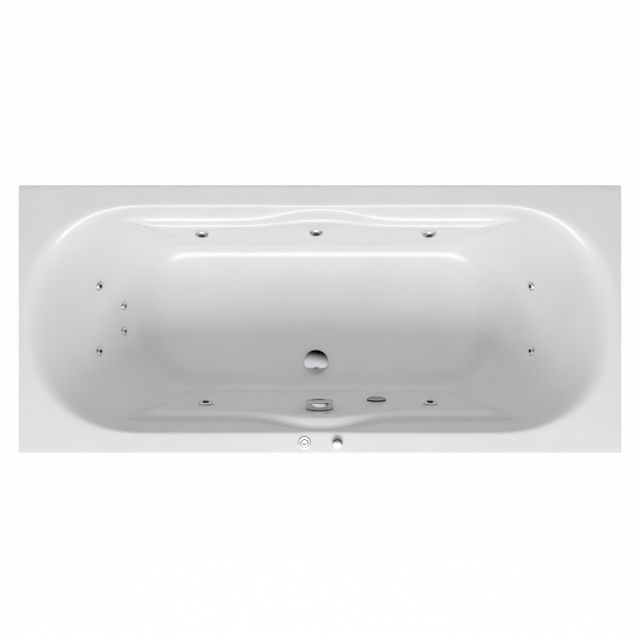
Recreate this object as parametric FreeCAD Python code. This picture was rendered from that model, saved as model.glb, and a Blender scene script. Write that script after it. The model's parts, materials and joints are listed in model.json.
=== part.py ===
import FreeCAD, Part
import math
import os

# Drop-in jetted bathtub, 1800 x 800 mm, as an assembly of separate parts.
# Millimetres. Origin: middle of the footprint on the floor. +X right, +Y back, +Z up.

V = FreeCAD.Vector

# ---------------------------------------------------------------- overall sizes
LENGTH = 1800.0
WIDTH = 800.0
HEIGHT = 580.0
INNER_DEPTH = 425.0
WALL = 6.0
RIM_DROP = 35.0
RIM_CORNER_R = 4.0
RIM_EDGE_R = 5.0

# basin opening and floor
END_LAND = 58.0
SIDE_LAND = 63.0
END_REACH = 342.0
FLOOR_SHORTER = 105.0
CURVE_POWER = 2.3
SIDE_FLOOR_INSET = 93.0
END_FLOOR_INSET = 255.0
ROLL_SIDE = 9.0
ROLL_END_FLAT = 8.0
ROLL_END_WALL = 104.0
FILLET_WALL = 50.0
FILLET_FLOOR = 95.0
FILLET_END = 132.0
END_POWER = 1.0
ROLL_POWER = 0.85

# armrest ledge on both long walls
LEDGE_FOOT_IN = 28.0
LEDGE_FOOT_DEEP = 58.0
LEDGE_EDGE_IN = 60.0
LEDGE_EDGE_DEEP = 63.0
LEDGE_FOOT_SHARE = 0.58
LEDGE_WALL_SHARE = 0.25
LEDGE_FADE_FROM = 0.0
LEDGE_FADE_TO = 24.0

# wider and higher seat for the hand in the middle of each ledge
LENS_HALF = 147.0
LENS_POWER = 2.4
LENS_FOOT_OUT = 20.0
LENS_EDGE_OUT = 11.0
LENS_FOOT_UP = 44.0
LENS_EDGE_UP = 43.0
LENS_ROLL_LESS = 4.0

# base board and steel frame
BOARD_PAST_FLOOR = 165.0
BOARD_PAST_RAIL = 15.0
BOARD_T = 16.0
TUBE = 25.0
TUBE_T = 2.0
RAIL_IN = 122.0
CROSS_IN = 35.0
CROSS_END_IN = 25.0
INNER_CROSS_IN = 130.0
POST = 20.0
POST_T = 1.5
POST_IN = 35.0
RIM_PAD = 30.0
RIM_PAD_T = 8.0

# levelling feet
FOOT_IN = 100.0
MID_FOOT_X = 150.0
ROD_R = 6.0
THREAD_CLEAR = 0.05
NUT_AF = 24.0
NUT_H = 24.0
FOOT_PAD_R = 25.0
FOOT_PAD_H = 16.0
ROD_ABOVE_NUT = 22.0

# pipes
WATER_R = 16.0
WATER_T = 2.0
PIPE_GAP = 2.0
WATER_END_IN = 100.0
WATER_BELOW_JET = 13.0
AIR_R = 10.0
AIR_T = 1.5
AIR_ABOVE_WATER = 48.0
AIR_PAST_JET = 32.0
PIPE_BEND = 120.0
END_PIPE_R = 12.5
RISER_R = 10.0
SLEEVE_T = 5.0

# jets
# each side jet: end it counts from (0 is the middle), distance from there, wall
SIDE_JETS = ((-1, 133.0, 1), (0, -9.0, 1), (1, 155.0, 1), (-1, 145.0, -1), (1, 152.0, -1))
SIDE_JET_DEEP = 150.0
SIDE_BARREL_R = 19.5
SIDE_FLANGE_LIP = 5.5
SIDE_FLANGE_T = 2.5
SIDE_NUT_LIP = 8.5
SIDE_BORE_R = 16.0
RING_IN_FLANGE = 2.0
RING_TOP = 8.0
BALL_R = 12.0
BALL_CENTRE = -2.0
SNOUT_R = 9.0
SNOUT_OUT = 12.6
BALL_BORE_R = 4.5
BALL_GAP = 0.4
END_JETS = ((105.0, 216.0, -1), (-105.0, 216.0, -1), (42.0, 330.0, -1), (-42.0, 330.0, -1),
            (105.0, 241.0, 1), (-105.0, 241.0, 1))
END_BARREL_R = 11.0
END_FLANGE_LIP = 3.5
END_FLANGE_T = 2.0
END_BORE_R = 8.0
END_TEE = 56.0
CAP_IN_FLANGE = 2.0
END_HOLE_R = 5.0
FIT = 0.05
FACE_GAP = 0.3
NUT_T = 10.0

# waste and overflow
DRAIN_X = -5.0
DRAIN_FROM_FILLET = 1.0
DRAIN_SEAT_R = 44.0
DRAIN_HOLE_R = 24.0
DRAIN_FLANGE_LIP = 5.0
DRAIN_TAIL_T = 4.0
DRAIN_COVER_R = 41.5
STEM_R = 4.0
TRAP_OUT = 14.0
WASTE_R = 20.0
TRAP_DEEP = 109.0
WASTE_DEEP = 74.0
WASTE_REACH = 135.0
WASTE_COLLAR_LIP = 6.0
WASTE_COLLAR_LONG = 14.0
KNOB_X = 1.0
KNOB_DEEP = 116.0
KNOB_R = 42.0
KNOB_OUT = 29.0
KNOB_STEM_R = 5.0
OVERFLOW_R = 16.0
OVERFLOW_BARREL_R = 20.0
OVERFLOW_BEHIND = 19.0
CABLE_R = 3.5

# suction
SUCTION_X = 186.0
SUCTION_DEEP = 230.0
SUCTION_COVER_R = 30.5
SUCTION_BARREL_R = 25.0
SUCTION_R = 25.0
SUCTION_BEHIND = 15.0
SUCTION_BEND = 70.0

# rim controls
BUTTON_X = -46.0
AIR_X = 52.0
CONTROL_IN = 31.0
CONTROL_HOLE_R = 14.0
BEZEL_R = 19.0
BUTTON_R = 9.75
AIR_KNOB_R = 16.0
AIR_STEM_R = 5.0
AIR_HOSE_R = 3.0
AIR_HOSE_GAP = 5.0
AIR_HOSE_BELOW_WATER = 70.0

# pump
PLATE_T = 6.0
VOLUTE_CLEAR = 11.0
VOLUTE_R = 72.0
VOLUTE_AFTER_SUCTION = 122.0
VOLUTE_LONG = 70.0
MOTOR_R = 60.0
MOTOR_LONG = 240.0
FAN_COVER_LONG = 40.0
SHAFT_R = 7.0
ROTOR_R = 33.0
CASING_T = 3.0
FIN_H = 5.0
ROTOR_GAP = 0.6
TERMINAL_BOX_IN = 11.0
TERMINAL_BOX_OUT = 43.0
TERMINAL_BOX_LONG = 80.0
GLAND_R = 8.0
IMPELLER_R = 50.0
SWITCH_R = 15.0

# ---------------------------------------------------------------- helpers
HALF_L = LENGTH / 2 - END_LAND
HALF_B = WIDTH / 2 - SIDE_LAND
STRAIGHT_TOP = HALF_L - END_REACH
STRAIGHT_FLOOR = STRAIGHT_TOP - FLOOR_SHORTER
FLOOR_Z = HEIGHT - INNER_DEPTH
UNDER_Z = FLOOR_Z - WALL
RIM_UNDER = HEIGHT - WALL
BOARD_Z = UNDER_Z - BOARD_T
RAIL_Z = BOARD_Z - TUBE
RAIL_Y = HALF_B - RAIL_IN
BOARD_HALF_L = STRAIGHT_FLOOR + BOARD_PAST_FLOOR
BOARD_HALF_W = RAIL_Y + BOARD_PAST_RAIL
CROSS_X = LENGTH / 2 - CROSS_IN
CROSS_HALF = WIDTH / 2 - CROSS_END_IN
INNER_CROSS_X = BOARD_HALF_L - INNER_CROSS_IN
POST_Y = WIDTH / 2 - POST_IN
FOOT_Y = WIDTH / 2 - FOOT_IN
WATER_X = LENGTH / 2 - WATER_END_IN
WATER_Z = HEIGHT - SIDE_JET_DEEP - WATER_BELOW_JET
AIR_Z = WATER_Z + AIR_ABOVE_WATER
DRAIN_Y = SIDE_FLOOR_INSET + FILLET_FLOOR + DRAIN_FROM_FILLET - HALF_B
WASTE_Z = UNDER_Z - WASTE_DEEP
KNOB_Z = HEIGHT - KNOB_DEEP
OVERFLOW_Y = OVERFLOW_BEHIND - HALF_B
WATER_Y = OVERFLOW_R + PIPE_GAP + WATER_R - OVERFLOW_Y
SUCTION_Z = HEIGHT - SUCTION_DEEP
SUCTION_Y = SUCTION_BEHIND - HALF_B
CONTROL_Y = CONTROL_IN - WIDTH / 2
AIR_HOSE_Y = -(WATER_Y + WATER_R + AIR_HOSE_GAP + AIR_HOSE_R)
AIR_HOSE_Z = WATER_Z - AIR_HOSE_BELOW_WATER
PUMP_X = LENGTH / 2 - TERMINAL_BOX_IN - TERMINAL_BOX_OUT + 4.0 - MOTOR_R
PUMP_Z = BOARD_Z + PLATE_T + VOLUTE_R + VOLUTE_CLEAR
VOLUTE_Y0 = SUCTION_Y + VOLUTE_AFTER_SUCTION
VOLUTE_Y1 = VOLUTE_Y0 + VOLUTE_LONG
MOTOR_Y1 = VOLUTE_Y1 + MOTOR_LONG
FAN_COVER_Y1 = MOTOR_Y1 + FAN_COVER_LONG
DISCHARGE_Y = VOLUTE_Y0 + VOLUTE_LONG / 2
SWITCH_X = PUMP_X + MOTOR_R + 12.0
TERMINAL_BOX_Y = VOLUTE_Y1 + 38.0
SWITCH_Y = TERMINAL_BOX_Y + TERMINAL_BOX_LONG / 2 + 2.0
STATOR_R = MOTOR_R - FIN_H - CASING_T
SIDE_FLANGE_R = SIDE_BARREL_R + SIDE_FLANGE_LIP
RING_R = SIDE_FLANGE_R - RING_IN_FLANGE
END_FLANGE_R = END_BARREL_R + END_FLANGE_LIP
END_CAP_R = END_FLANGE_R - CAP_IN_FLANGE
DRAIN_FLANGE_R = DRAIN_HOLE_R + DRAIN_FLANGE_LIP
DRAIN_BORE_R = DRAIN_HOLE_R - DRAIN_TAIL_T
TRAP_R = DRAIN_HOLE_R + TRAP_OUT


def save(name, shape):
    """Write one sub-part as its own STEP file."""
    solids = shape.Solids
    out = solids[0] if len(solids) == 1 else Part.makeCompound(solids)
    out.exportStep(os.path.join("parts", name + ".step"))


def box(x0, x1, y0, y1, z0, z1):
    return Part.makeBox(x1 - x0, y1 - y0, z1 - z0, V(x0, y0, z0))


def rod(start, direction, radius, length):
    return Part.makeCylinder(radius, length, start, direction)


def join(shapes):
    return shapes[0].multiFuse(shapes[1:]).removeSplitter()


def hexagon(x, y, z, across, height):
    radius = across / math.sqrt(3)
    ring = [V(x + radius * math.cos(k * math.pi / 3), y + radius * math.sin(k * math.pi / 3), z)
            for k in range(7)]
    return Part.Face(Part.makePolygon(ring)).extrude(V(0, 0, height))


def square_tube(x0, x1, y0, y1, z0, z1, wall, axis):
    """Hollow box section open along one axis."""
    inner = [x0 + wall, x1 - wall, y0 + wall, y1 - wall, z0 + wall, z1 - wall]
    inner[2 * axis] = (x0, y0, z0)[axis] - 1
    inner[2 * axis + 1] = (x1, y1, z1)[axis] + 1
    return box(x0, x1, y0, y1, z0, z1).cut(box(*inner))


def bent_wire(points, bend):
    """Straight runs joined by tangent arcs of one bend radius."""
    edges = []
    last = points[0]
    for k in range(1, len(points) - 1):
        corner = points[k]
        back = (points[k - 1] - corner).normalize()
        ahead = (points[k + 1] - corner).normalize()
        half = back.getAngle(ahead) / 2
        reach = bend / math.tan(half)
        middle = (back + ahead).normalize()
        centre = corner + middle * (bend / math.sin(half))
        first = corner + back * reach
        second = corner + ahead * reach
        edges.append(Part.LineSegment(last, first).toShape())
        edges.append(Part.Arc(first, centre - middle * bend, second).toShape())
        last = second
    edges.append(Part.LineSegment(last, points[-1]).toShape())
    return Part.Wire(edges)


def pipe(points, bend, radius, bore=0.0):
    """Round pipe swept along a bent line; a bore leaves it hollow."""
    start = points[0]
    direction = points[1] - points[0]

    def sweep(size):
        ring = Part.Wire(Part.makeCircle(size, start, direction))
        return bent_wire(points, bend).makePipeShell([ring], True, False)

    body = sweep(radius)
    return body.cut(sweep(bore)) if bore > 0 else body


def revolve(profile, centre, direction, turn=360.0):
    """Solid of revolution; profile is (radius, height) pairs about the given axis."""
    w = V(direction).normalize()
    u = V(0, 1, 0).cross(w) if abs(w.x) > 0.5 else V(1, 0, 0) - w * w.x
    u.normalize()
    ring = [centre + u * r + w * h for r, h in profile]
    ring.append(ring[0])
    return Part.Face(Part.makePolygon(ring)).revolve(centre, w, turn)


# ---------------------------------------------------------------- basin surface
def smooth(t):
    t = min(1.0, max(0.0, t))
    return t * t * (3 - 2 * t)


def straight_half(depth):
    return STRAIGHT_TOP - FLOOR_SHORTER * depth / INNER_DEPTH


def ledge_weight(phi):
    """1 along the ledge, fading to 0 as the end curve starts; phi falls from 90 to 0."""
    return smooth((LEDGE_FADE_TO - (90.0 - phi)) / (LEDGE_FADE_TO - LEDGE_FADE_FROM))


def curve_terms(phi):
    angle = math.radians(phi)
    c = max(0.0, math.cos(angle))
    s = max(0.0, math.sin(angle))
    return c ** (2 / CURVE_POWER), s ** (2 / CURVE_POWER), (c * c) ** END_POWER


def plain_inset(floor_inset, depth):
    return floor_inset * depth / INNER_DEPTH


def lens_share(t, phi):
    """1 in the middle of the ledge, falling to 0 along it."""
    along = STRAIGHT_TOP * t if phi > 89.999 else 2 * STRAIGHT_TOP
    return math.exp(-(along / LENS_HALF) ** LENS_POWER)


def side_insets(t, phi):
    """Insets of the ledge foot and edge on the long wall, ledge faded at its ends."""
    weight = ledge_weight(phi)
    lens = lens_share(t, phi) * weight
    foot = plain_inset(SIDE_FLOOR_INSET, LEDGE_FOOT_DEEP)
    edge = plain_inset(SIDE_FLOOR_INSET, LEDGE_EDGE_DEEP)
    foot = foot * (1 - weight) + (LEDGE_FOOT_IN - LENS_FOOT_OUT * lens) * weight
    edge = edge * (1 - weight) + (LEDGE_EDGE_IN - LENS_EDGE_OUT * lens) * weight
    return foot, edge, weight


def section_rows(t, phi):
    """Control rows of one wall section, as (side inset, end inset, depth).

    The section is a polyline of four corners, each rounded by a parabola. Rows come as start,
    corner and end of every parabola; the ledge's two parabolas share a row between them.
    """
    end = curve_terms(phi)[2]
    roll = end ** (ROLL_POWER / END_POWER)
    foot, edge, weight = side_insets(t, phi)
    lens = lens_share(t, phi)
    foot_deep = LEDGE_FOOT_DEEP + 80.0 * end - LENS_FOOT_UP * lens
    edge_deep = LEDGE_EDGE_DEEP + 85.0 * end - LENS_EDGE_UP * lens
    if weight < 1.0:
        foot += plain_inset(SIDE_FLOOR_INSET, foot_deep - LEDGE_FOOT_DEEP) * (1 - weight)
        edge += plain_inset(SIDE_FLOOR_INSET, edge_deep - LEDGE_EDGE_DEEP) * (1 - weight)
    rim_reach = ROLL_SIDE + (END_LAND - ROLL_END_FLAT - ROLL_SIDE) * roll
    wall_reach = ROLL_SIDE + (ROLL_END_WALL - ROLL_SIDE) * roll - LENS_ROLL_LESS * lens
    low_reach = FILLET_WALL + (FILLET_END - FILLET_WALL) * end
    floor_reach = FILLET_FLOOR + (FILLET_END - FILLET_FLOOR) * end

    def rows(foot_in, edge_in, floor_in):
        knots = [(0.0, 0.0), (foot_in, foot_deep), (edge_in, edge_deep), (floor_in, INNER_DEPTH)]
        step = math.hypot(edge_in - foot_in, edge_deep - foot_deep)
        drop = math.hypot(foot_in, foot_deep)

        def toward(k, other, reach):
            a, b = knots[k], knots[other]
            span = math.hypot(b[0] - a[0], b[1] - a[1])
            return a[0] + (b[0] - a[0]) * reach / span, a[1] + (b[1] - a[1]) * reach / span
        return [(-rim_reach, 0.0), knots[0], toward(0, 1, wall_reach),
                toward(1, 0, LEDGE_WALL_SHARE * drop), knots[1],
                toward(1, 2, LEDGE_FOOT_SHARE * step), knots[2],
                toward(2, 3, (1 - LEDGE_FOOT_SHARE) * step),
                toward(3, 2, low_reach), knots[3], (floor_in + floor_reach, INNER_DEPTH)]

    side = rows(foot, edge, SIDE_FLOOR_INSET)
    ends = rows(plain_inset(END_FLOOR_INSET, foot_deep), plain_inset(END_FLOOR_INSET, edge_deep),
                END_FLOOR_INSET)
    return [(p[0], q[0], p[1] * (1 - end) + q[1] * end) for p, q in zip(side, ends)]


# bands of the wall, top to bottom: the rows that each one spans
BANDS = ((0, 1, 2), (2, 3), (3, 4, 5), (5, 6, 7), (7, 8), (8, 9, 10))
# for a row on the wall, the straight line through it; corner rows take both neighbours
LINES = ((0, 1), None, (2, 3), (2, 3), None, (4, 6), None, (7, 8), (7, 8), None, (9, 10))


def place(t, phi, row):
    """Point of the basin in the first quadrant (x and y both positive)."""
    c, s, end = curve_terms(phi)
    half = straight_half(row[2])
    x = half * t + (HALF_L - row[1] - half) * c
    y = (HALF_B - row[0]) * s
    return V(x, y, HEIGHT - row[2])


# stations round one quadrant: share of the straight part, then the end curve's angle
STATIONS = [(t, 90.0) for t in (0.0, 0.07, 0.14, 0.21, 0.28, 0.36, 0.45, 0.6, 0.8)]
STATIONS += [(1.0, phi) for phi in (90.0, 87.0, 84.0, 81.0, 78.0, 75.0, 72.0, 68.0, 62.0, 55.0,
                                    47.0, 38.0, 29.0, 20.0, 10.0, 0.0)]
LAST = len(STATIONS) - 1


def station(q):
    """Straight share and end angle at a fractional station number."""
    k = min(LAST - 1, int(q))
    f = q - k
    a, b = STATIONS[k], STATIONS[k + 1]
    return a[0] + (b[0] - a[0]) * f, a[1] + (b[1] - a[1]) * f


def quadrant_points(q):
    """Inner and outer control points of every row at one station."""
    step = 0.02
    here, before = STATIONS[q], station(abs(q - step))
    after = station(q + step if q < LAST else LAST - step)
    inner = [place(here[0], here[1], row) for row in section_rows(*here)]
    a = [place(before[0], before[1], row) for row in section_rows(*before)]
    b = [place(after[0], after[1], row) for row in section_rows(*after)]
    normals = []
    for k, line in enumerate(LINES):
        if line is None:
            normals.append(None)
            continue
        start = V(-a[k].x, a[k].y, a[k].z) if q == 0 else a[k]
        finish = V(b[k].x, -b[k].y, b[k].z) if q == LAST else b[k]
        n = (finish - start).cross(inner[line[1]] - inner[line[0]]).normalize()
        if n.dot(V(inner[k].x / HALF_L, inner[k].y / HALF_B, -1.0)) > 0:
            n = n * -1
        normals.append(V(0, 0, 1) if k in (0, len(LINES) - 1) else n)
    outer = []
    for k, p in enumerate(inner):
        n = normals[k]
        if n is None:
            m, w = normals[k - 1], normals[k + 1]
            n = (m + w) * (1.0 / (1.0 + m.dot(w)))
        outer.append(p - n * WALL)
    return inner, outer


def band_faces(quadrant, mirror, params):
    """Faces of all bands of one half of the basin, from its rows of control points."""
    curves = []
    for k in range(len(LINES)):
        back = [V(mirror * line[k].x, line[k].y, line[k].z) for line in quadrant]
        front = [V(p.x, -p.y, p.z) for p in reversed(back[:-1])]
        points = back + front
        slope = V((points[1].x - points[0].x) / params[1], 0, 0)
        curve = Part.BSplineCurve()
        curve.interpolate(Points=points, Parameters=params, InitialTangent=slope,
                          FinalTangent=slope * -1)
        curves.append(curve)
    faces = []
    for band in BANDS:
        degree = len(band) - 1
        poles = [list(row) for row in zip(*[curves[k].getPoles() for k in band])]
        surface = Part.BSplineSurface()
        surface.buildFromPolesMultsKnots(poles, curves[0].getMultiplicities(),
                                         [degree + 1, degree + 1], curves[0].getKnots(),
                                         [0.0, 1.0], False, False, curves[0].Degree, degree)
        faces.append(surface.toShape())
    return faces


def basin_faces():
    """Inner and outer faces of the whole basin wall."""
    sets = [quadrant_points(q) for q in range(LAST + 1)]
    middle = [pair[0][4] for pair in sets]
    back = [0.0]
    for p, q in zip(middle[:-1], middle[1:]):
        back.append(back[-1] + (q - p).Length)
    params = back + [2 * back[-1] - u for u in reversed(back[:-1])]
    inner = []
    outer = []
    for mirror in (1, -1):
        inner += band_faces([pair[0] for pair in sets], mirror, params)
        outer += band_faces([pair[1] for pair in sets], mirror, params)
    return inner, outer


def level_edges(face, z):
    return [e for e in face.Edges if abs(e.BoundBox.ZMin - z) < 1e-3 and abs(e.BoundBox.ZMax - z) < 1e-3]


def ring_wire(faces, z):
    return Part.Wire(Part.sortEdges([e for f in faces for e in level_edges(f, z)])[0])


def build_shell():
    inner, outer = basin_faces()
    x1, y1 = LENGTH / 2 - 2.5, WIDTH / 2 - 15.0
    faces = inner + outer
    faces.append(Part.Face(ring_wire(inner, FLOOR_Z)))
    faces.append(Part.Face(ring_wire(outer, UNDER_Z)))
    for z, hole in ((HEIGHT, ring_wire(inner, HEIGHT)), (RIM_UNDER, ring_wire(outer, RIM_UNDER))):
        rim = Part.makePolygon([V(x1, y1, z), V(-x1, y1, z), V(-x1, -y1, z), V(x1, -y1, z),
                                V(x1, y1, z)])
        faces.append(Part.Face([rim, hole]))
    for ax, ay, bx, by in ((x1, y1, -x1, y1), (-x1, y1, -x1, -y1), (-x1, -y1, x1, -y1),
                           (x1, -y1, x1, y1)):
        wall = Part.makePolygon([V(ax, ay, HEIGHT), V(bx, by, HEIGHT), V(bx, by, RIM_UNDER),
                                 V(ax, ay, RIM_UNDER), V(ax, ay, HEIGHT)])
        faces.append(Part.Face(wall))
    skin = Part.makeShell(faces)
    skin.sewShape()
    body = Part.Solid(skin.Shells[0] if skin.ShapeType != "Shell" else skin)
    if body.Volume < 0:
        body.reverse()
    return body


def rim_border():
    """Outer border of the rim with its down-turned skirt."""
    hx, hy = LENGTH / 2, WIDTH / 2
    x1, y1 = hx - 2.5, hy - 15.0
    outer = box(-hx, hx, -hy, hy, HEIGHT - RIM_DROP, HEIGHT)
    upright = [e for e in outer.Edges if abs(e.BoundBox.ZLength - RIM_DROP) < 1e-6]
    outer = outer.makeFillet(RIM_CORNER_R, upright)
    top = [e for e in outer.Edges if abs(e.BoundBox.ZMin - HEIGHT) < 1e-6]
    outer = outer.makeFillet(RIM_EDGE_R - 3.0, top)
    hollow = box(-hx + WALL, hx - WALL, -hy + WALL, hy - WALL, HEIGHT - RIM_DROP - 1, RIM_UNDER)
    middle = box(-x1, x1, -y1, y1, RIM_UNDER - 1, HEIGHT + 1)
    return outer.cut(hollow).cut(middle)


# ---------------------------------------------------------------- points on the wall
def side_spot(x, depth, sy):
    """Point and inward normal on a long wall below the ledge."""
    def at(px, d):
        t = min(1.0, abs(px) / straight_half(d))
        foot, edge, weight = side_insets(t, 90.0)
        top = LEDGE_EDGE_DEEP - LENS_EDGE_UP * lens_share(t, 90.0)
        share = (d - top) / (INNER_DEPTH - top)
        inset = edge + (SIDE_FLOOR_INSET - edge) * share
        return V(px, sy * (HALF_B - inset), HEIGHT - d)
    p = at(x, depth)
    n = (at(x + 1, depth) - at(x - 1, depth)).cross(at(x, depth + 1) - at(x, depth - 1)).normalize()
    return p, n if n.y * sy < 0 else n * -1


def end_spot(y, depth, sx):
    """Point and inward normal on an end wall."""
    def at(phi, d):
        row = (plain_inset(SIDE_FLOOR_INSET, d), plain_inset(END_FLOOR_INSET, d), d)
        p = place(1.0, abs(phi), row)
        return V(sx * p.x, math.copysign(p.y, phi if y > 0 else -phi), p.z)
    low, high = 0.01, 60.0
    for _ in range(50):
        mid = (low + high) / 2
        if abs(at(mid, depth).y) < abs(y):
            low = mid
        else:
            high = mid
    p = at(low, depth)
    n = (at(low + 0.2, depth) - at(low - 0.2, depth)).cross(at(low, depth + 1) - at(low, depth - 1))
    n.normalize()
    return p, n if n.x * sx < 0 else n * -1


def main():
    os.makedirs("parts", exist_ok=True)
    shell = build_shell().fuse(rim_border()).removeSplitter()
    up = V(0, 0, 1)

    side = [side_spot(sx * STRAIGHT_TOP - sx * x if sx else x, SIDE_JET_DEEP, sy) + (sy,)
            for sx, x, sy in SIDE_JETS]
    ends = [end_spot(y, d, sx) + (sx,) for y, d, sx in END_JETS]
    knob_p, knob_n = side_spot(KNOB_X, KNOB_DEEP, -1)
    suck_p, suck_n = side_spot(SUCTION_X, SUCTION_DEEP, -1)

    # holes through the shell
    cuts = [rod(p + n * 20, n * -1, SIDE_BARREL_R, 40) for p, n, _ in side]
    cuts += [rod(p + n * 20, n * -1, END_BARREL_R, 40) for p, n, _ in ends]
    cuts.append(rod(knob_p + knob_n * 20, knob_n * -1, OVERFLOW_BARREL_R, 40))
    cuts.append(rod(suck_p + suck_n * 20, suck_n * -1, SUCTION_BARREL_R, 40))
    cuts.append(rod(V(DRAIN_X, DRAIN_Y, UNDER_Z - 9), up, DRAIN_HOLE_R, 30))
    cuts.append(rod(V(DRAIN_X, DRAIN_Y, FLOOR_Z), up, DRAIN_SEAT_R, 8))
    cuts.append(rod(V(BUTTON_X, CONTROL_Y, HEIGHT - 20), up, CONTROL_HOLE_R, 30))
    cuts.append(rod(V(AIR_X, CONTROL_Y, HEIGHT - 20), up, CONTROL_HOLE_R, 30))
    shell = shell.cut(Part.makeCompound(cuts))
    save("tub_shell", shell)
    print("shell", shell.isValid(), len(shell.Solids), round(shell.Volume / 1e6, 3))

    # board under the floor
    board = box(-BOARD_HALF_L, BOARD_HALF_L, -BOARD_HALF_W, BOARD_HALF_W, BOARD_Z, UNDER_Z)
    board = board.makeFillet(60.0, [e for e in board.Edges if abs(e.BoundBox.ZLength - BOARD_T) < 1e-6])
    save("base_board", board.cut(rod(V(DRAIN_X, DRAIN_Y, BOARD_Z - 10), up,
                                     TRAP_R + 7.0, BOARD_T + 20)))

    build_frame(up)
    build_feet(up)
    build_side_jets(side, shell)
    build_end_jets(ends, shell)
    build_manifolds(side, ends, up)
    build_waste(knob_p, knob_n, up)
    build_suction(suck_p, suck_n)
    build_controls(up)
    build_pump(up)


# ---------------------------------------------------------------- frame and feet
def build_frame(up):
    half = TUBE / 2
    z0, z1 = RAIL_Z, BOARD_Z
    pieces = []
    for sy in (-1, 1):
        y = sy * RAIL_Y
        pieces.append(square_tube(-CROSS_X + half, CROSS_X - half, y - half, y + half, z0, z1,
                                  TUBE_T, 0))
    spots = [(sx * CROSS_X, sy * FOOT_Y) for sx in (-1, 1) for sy in (-1, 1)]
    spots += [(MID_FOOT_X, sy * RAIL_Y) for sy in (-1, 1)]
    holes = [rod(V(x, y, z0 - 1), up, ROD_R + 1.0, TUBE_T + 2) for x, y in spots]
    for sx in (-1, 1):
        x = sx * CROSS_X
        pieces.append(square_tube(x - half, x + half, -CROSS_HALF, CROSS_HALF, z0, z1, TUBE_T, 1))
        x = sx * INNER_CROSS_X
        pieces.append(square_tube(x - half, x + half, -RAIL_Y + half, RAIL_Y - half, z0, z1,
                                  TUBE_T, 1))
    pieces += [hexagon(x, y, z0 - NUT_H, NUT_AF, NUT_H) for x, y in spots]
    bores = [rod(V(x, y, z0 - NUT_H - 1), up, ROD_R + THREAD_CLEAR, NUT_H + 1) for x, y in spots]
    save("support_frame", join(pieces).cut(Part.makeCompound(holes + bores)))
    posts = []
    pads = []
    p = POST / 2
    q = RIM_PAD / 2
    for sx in (-1, 1):
        for sy in (-1, 1):
            x, y = sx * CROSS_X, sy * POST_Y
            posts.append(square_tube(x - p, x + p, y - p, y + p, z1, RIM_UNDER - RIM_PAD_T,
                                     POST_T, 2))
            pads.append(box(x - q, x + q, y - q, y + q, RIM_UNDER - RIM_PAD_T, RIM_UNDER))
    save("rim_posts", Part.makeCompound(posts))
    save("rim_pads", Part.makeCompound(pads))


def build_feet(up):
    spots = [(-CROSS_X, -FOOT_Y), (MID_FOOT_X, -RAIL_Y), (CROSS_X, -FOOT_Y),
             (-CROSS_X, FOOT_Y), (MID_FOOT_X, RAIL_Y), (CROSS_X, FOOT_Y)]
    for k, (x, y) in enumerate(spots, 1):
        base = V(x, y, 0)
        pad = revolve([(0, 0), (FOOT_PAD_R, 0), (FOOT_PAD_R, 5), (FOOT_PAD_R - 11, FOOT_PAD_H),
                       (0, FOOT_PAD_H)], base, up)
        pad = pad.cut(rod(V(x, y, 5), up, ROD_R, 30))
        stem = rod(V(x, y, 5), up, ROD_R, RAIL_Z + ROD_ABOVE_NUT - 5)
        grip = hexagon(x, y, FOOT_PAD_H, 19.0, 8.0)
        save("foot_%d" % k, Part.makeCompound([pad, stem.fuse(grip).removeSplitter()]))


# ---------------------------------------------------------------- jets
def side_tee(p, n):
    """Where a side jet's axis meets the level line of the water pipe."""
    reach = (WATER_Y - abs(p.y)) / abs(n.y)
    return p - n * reach


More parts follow.
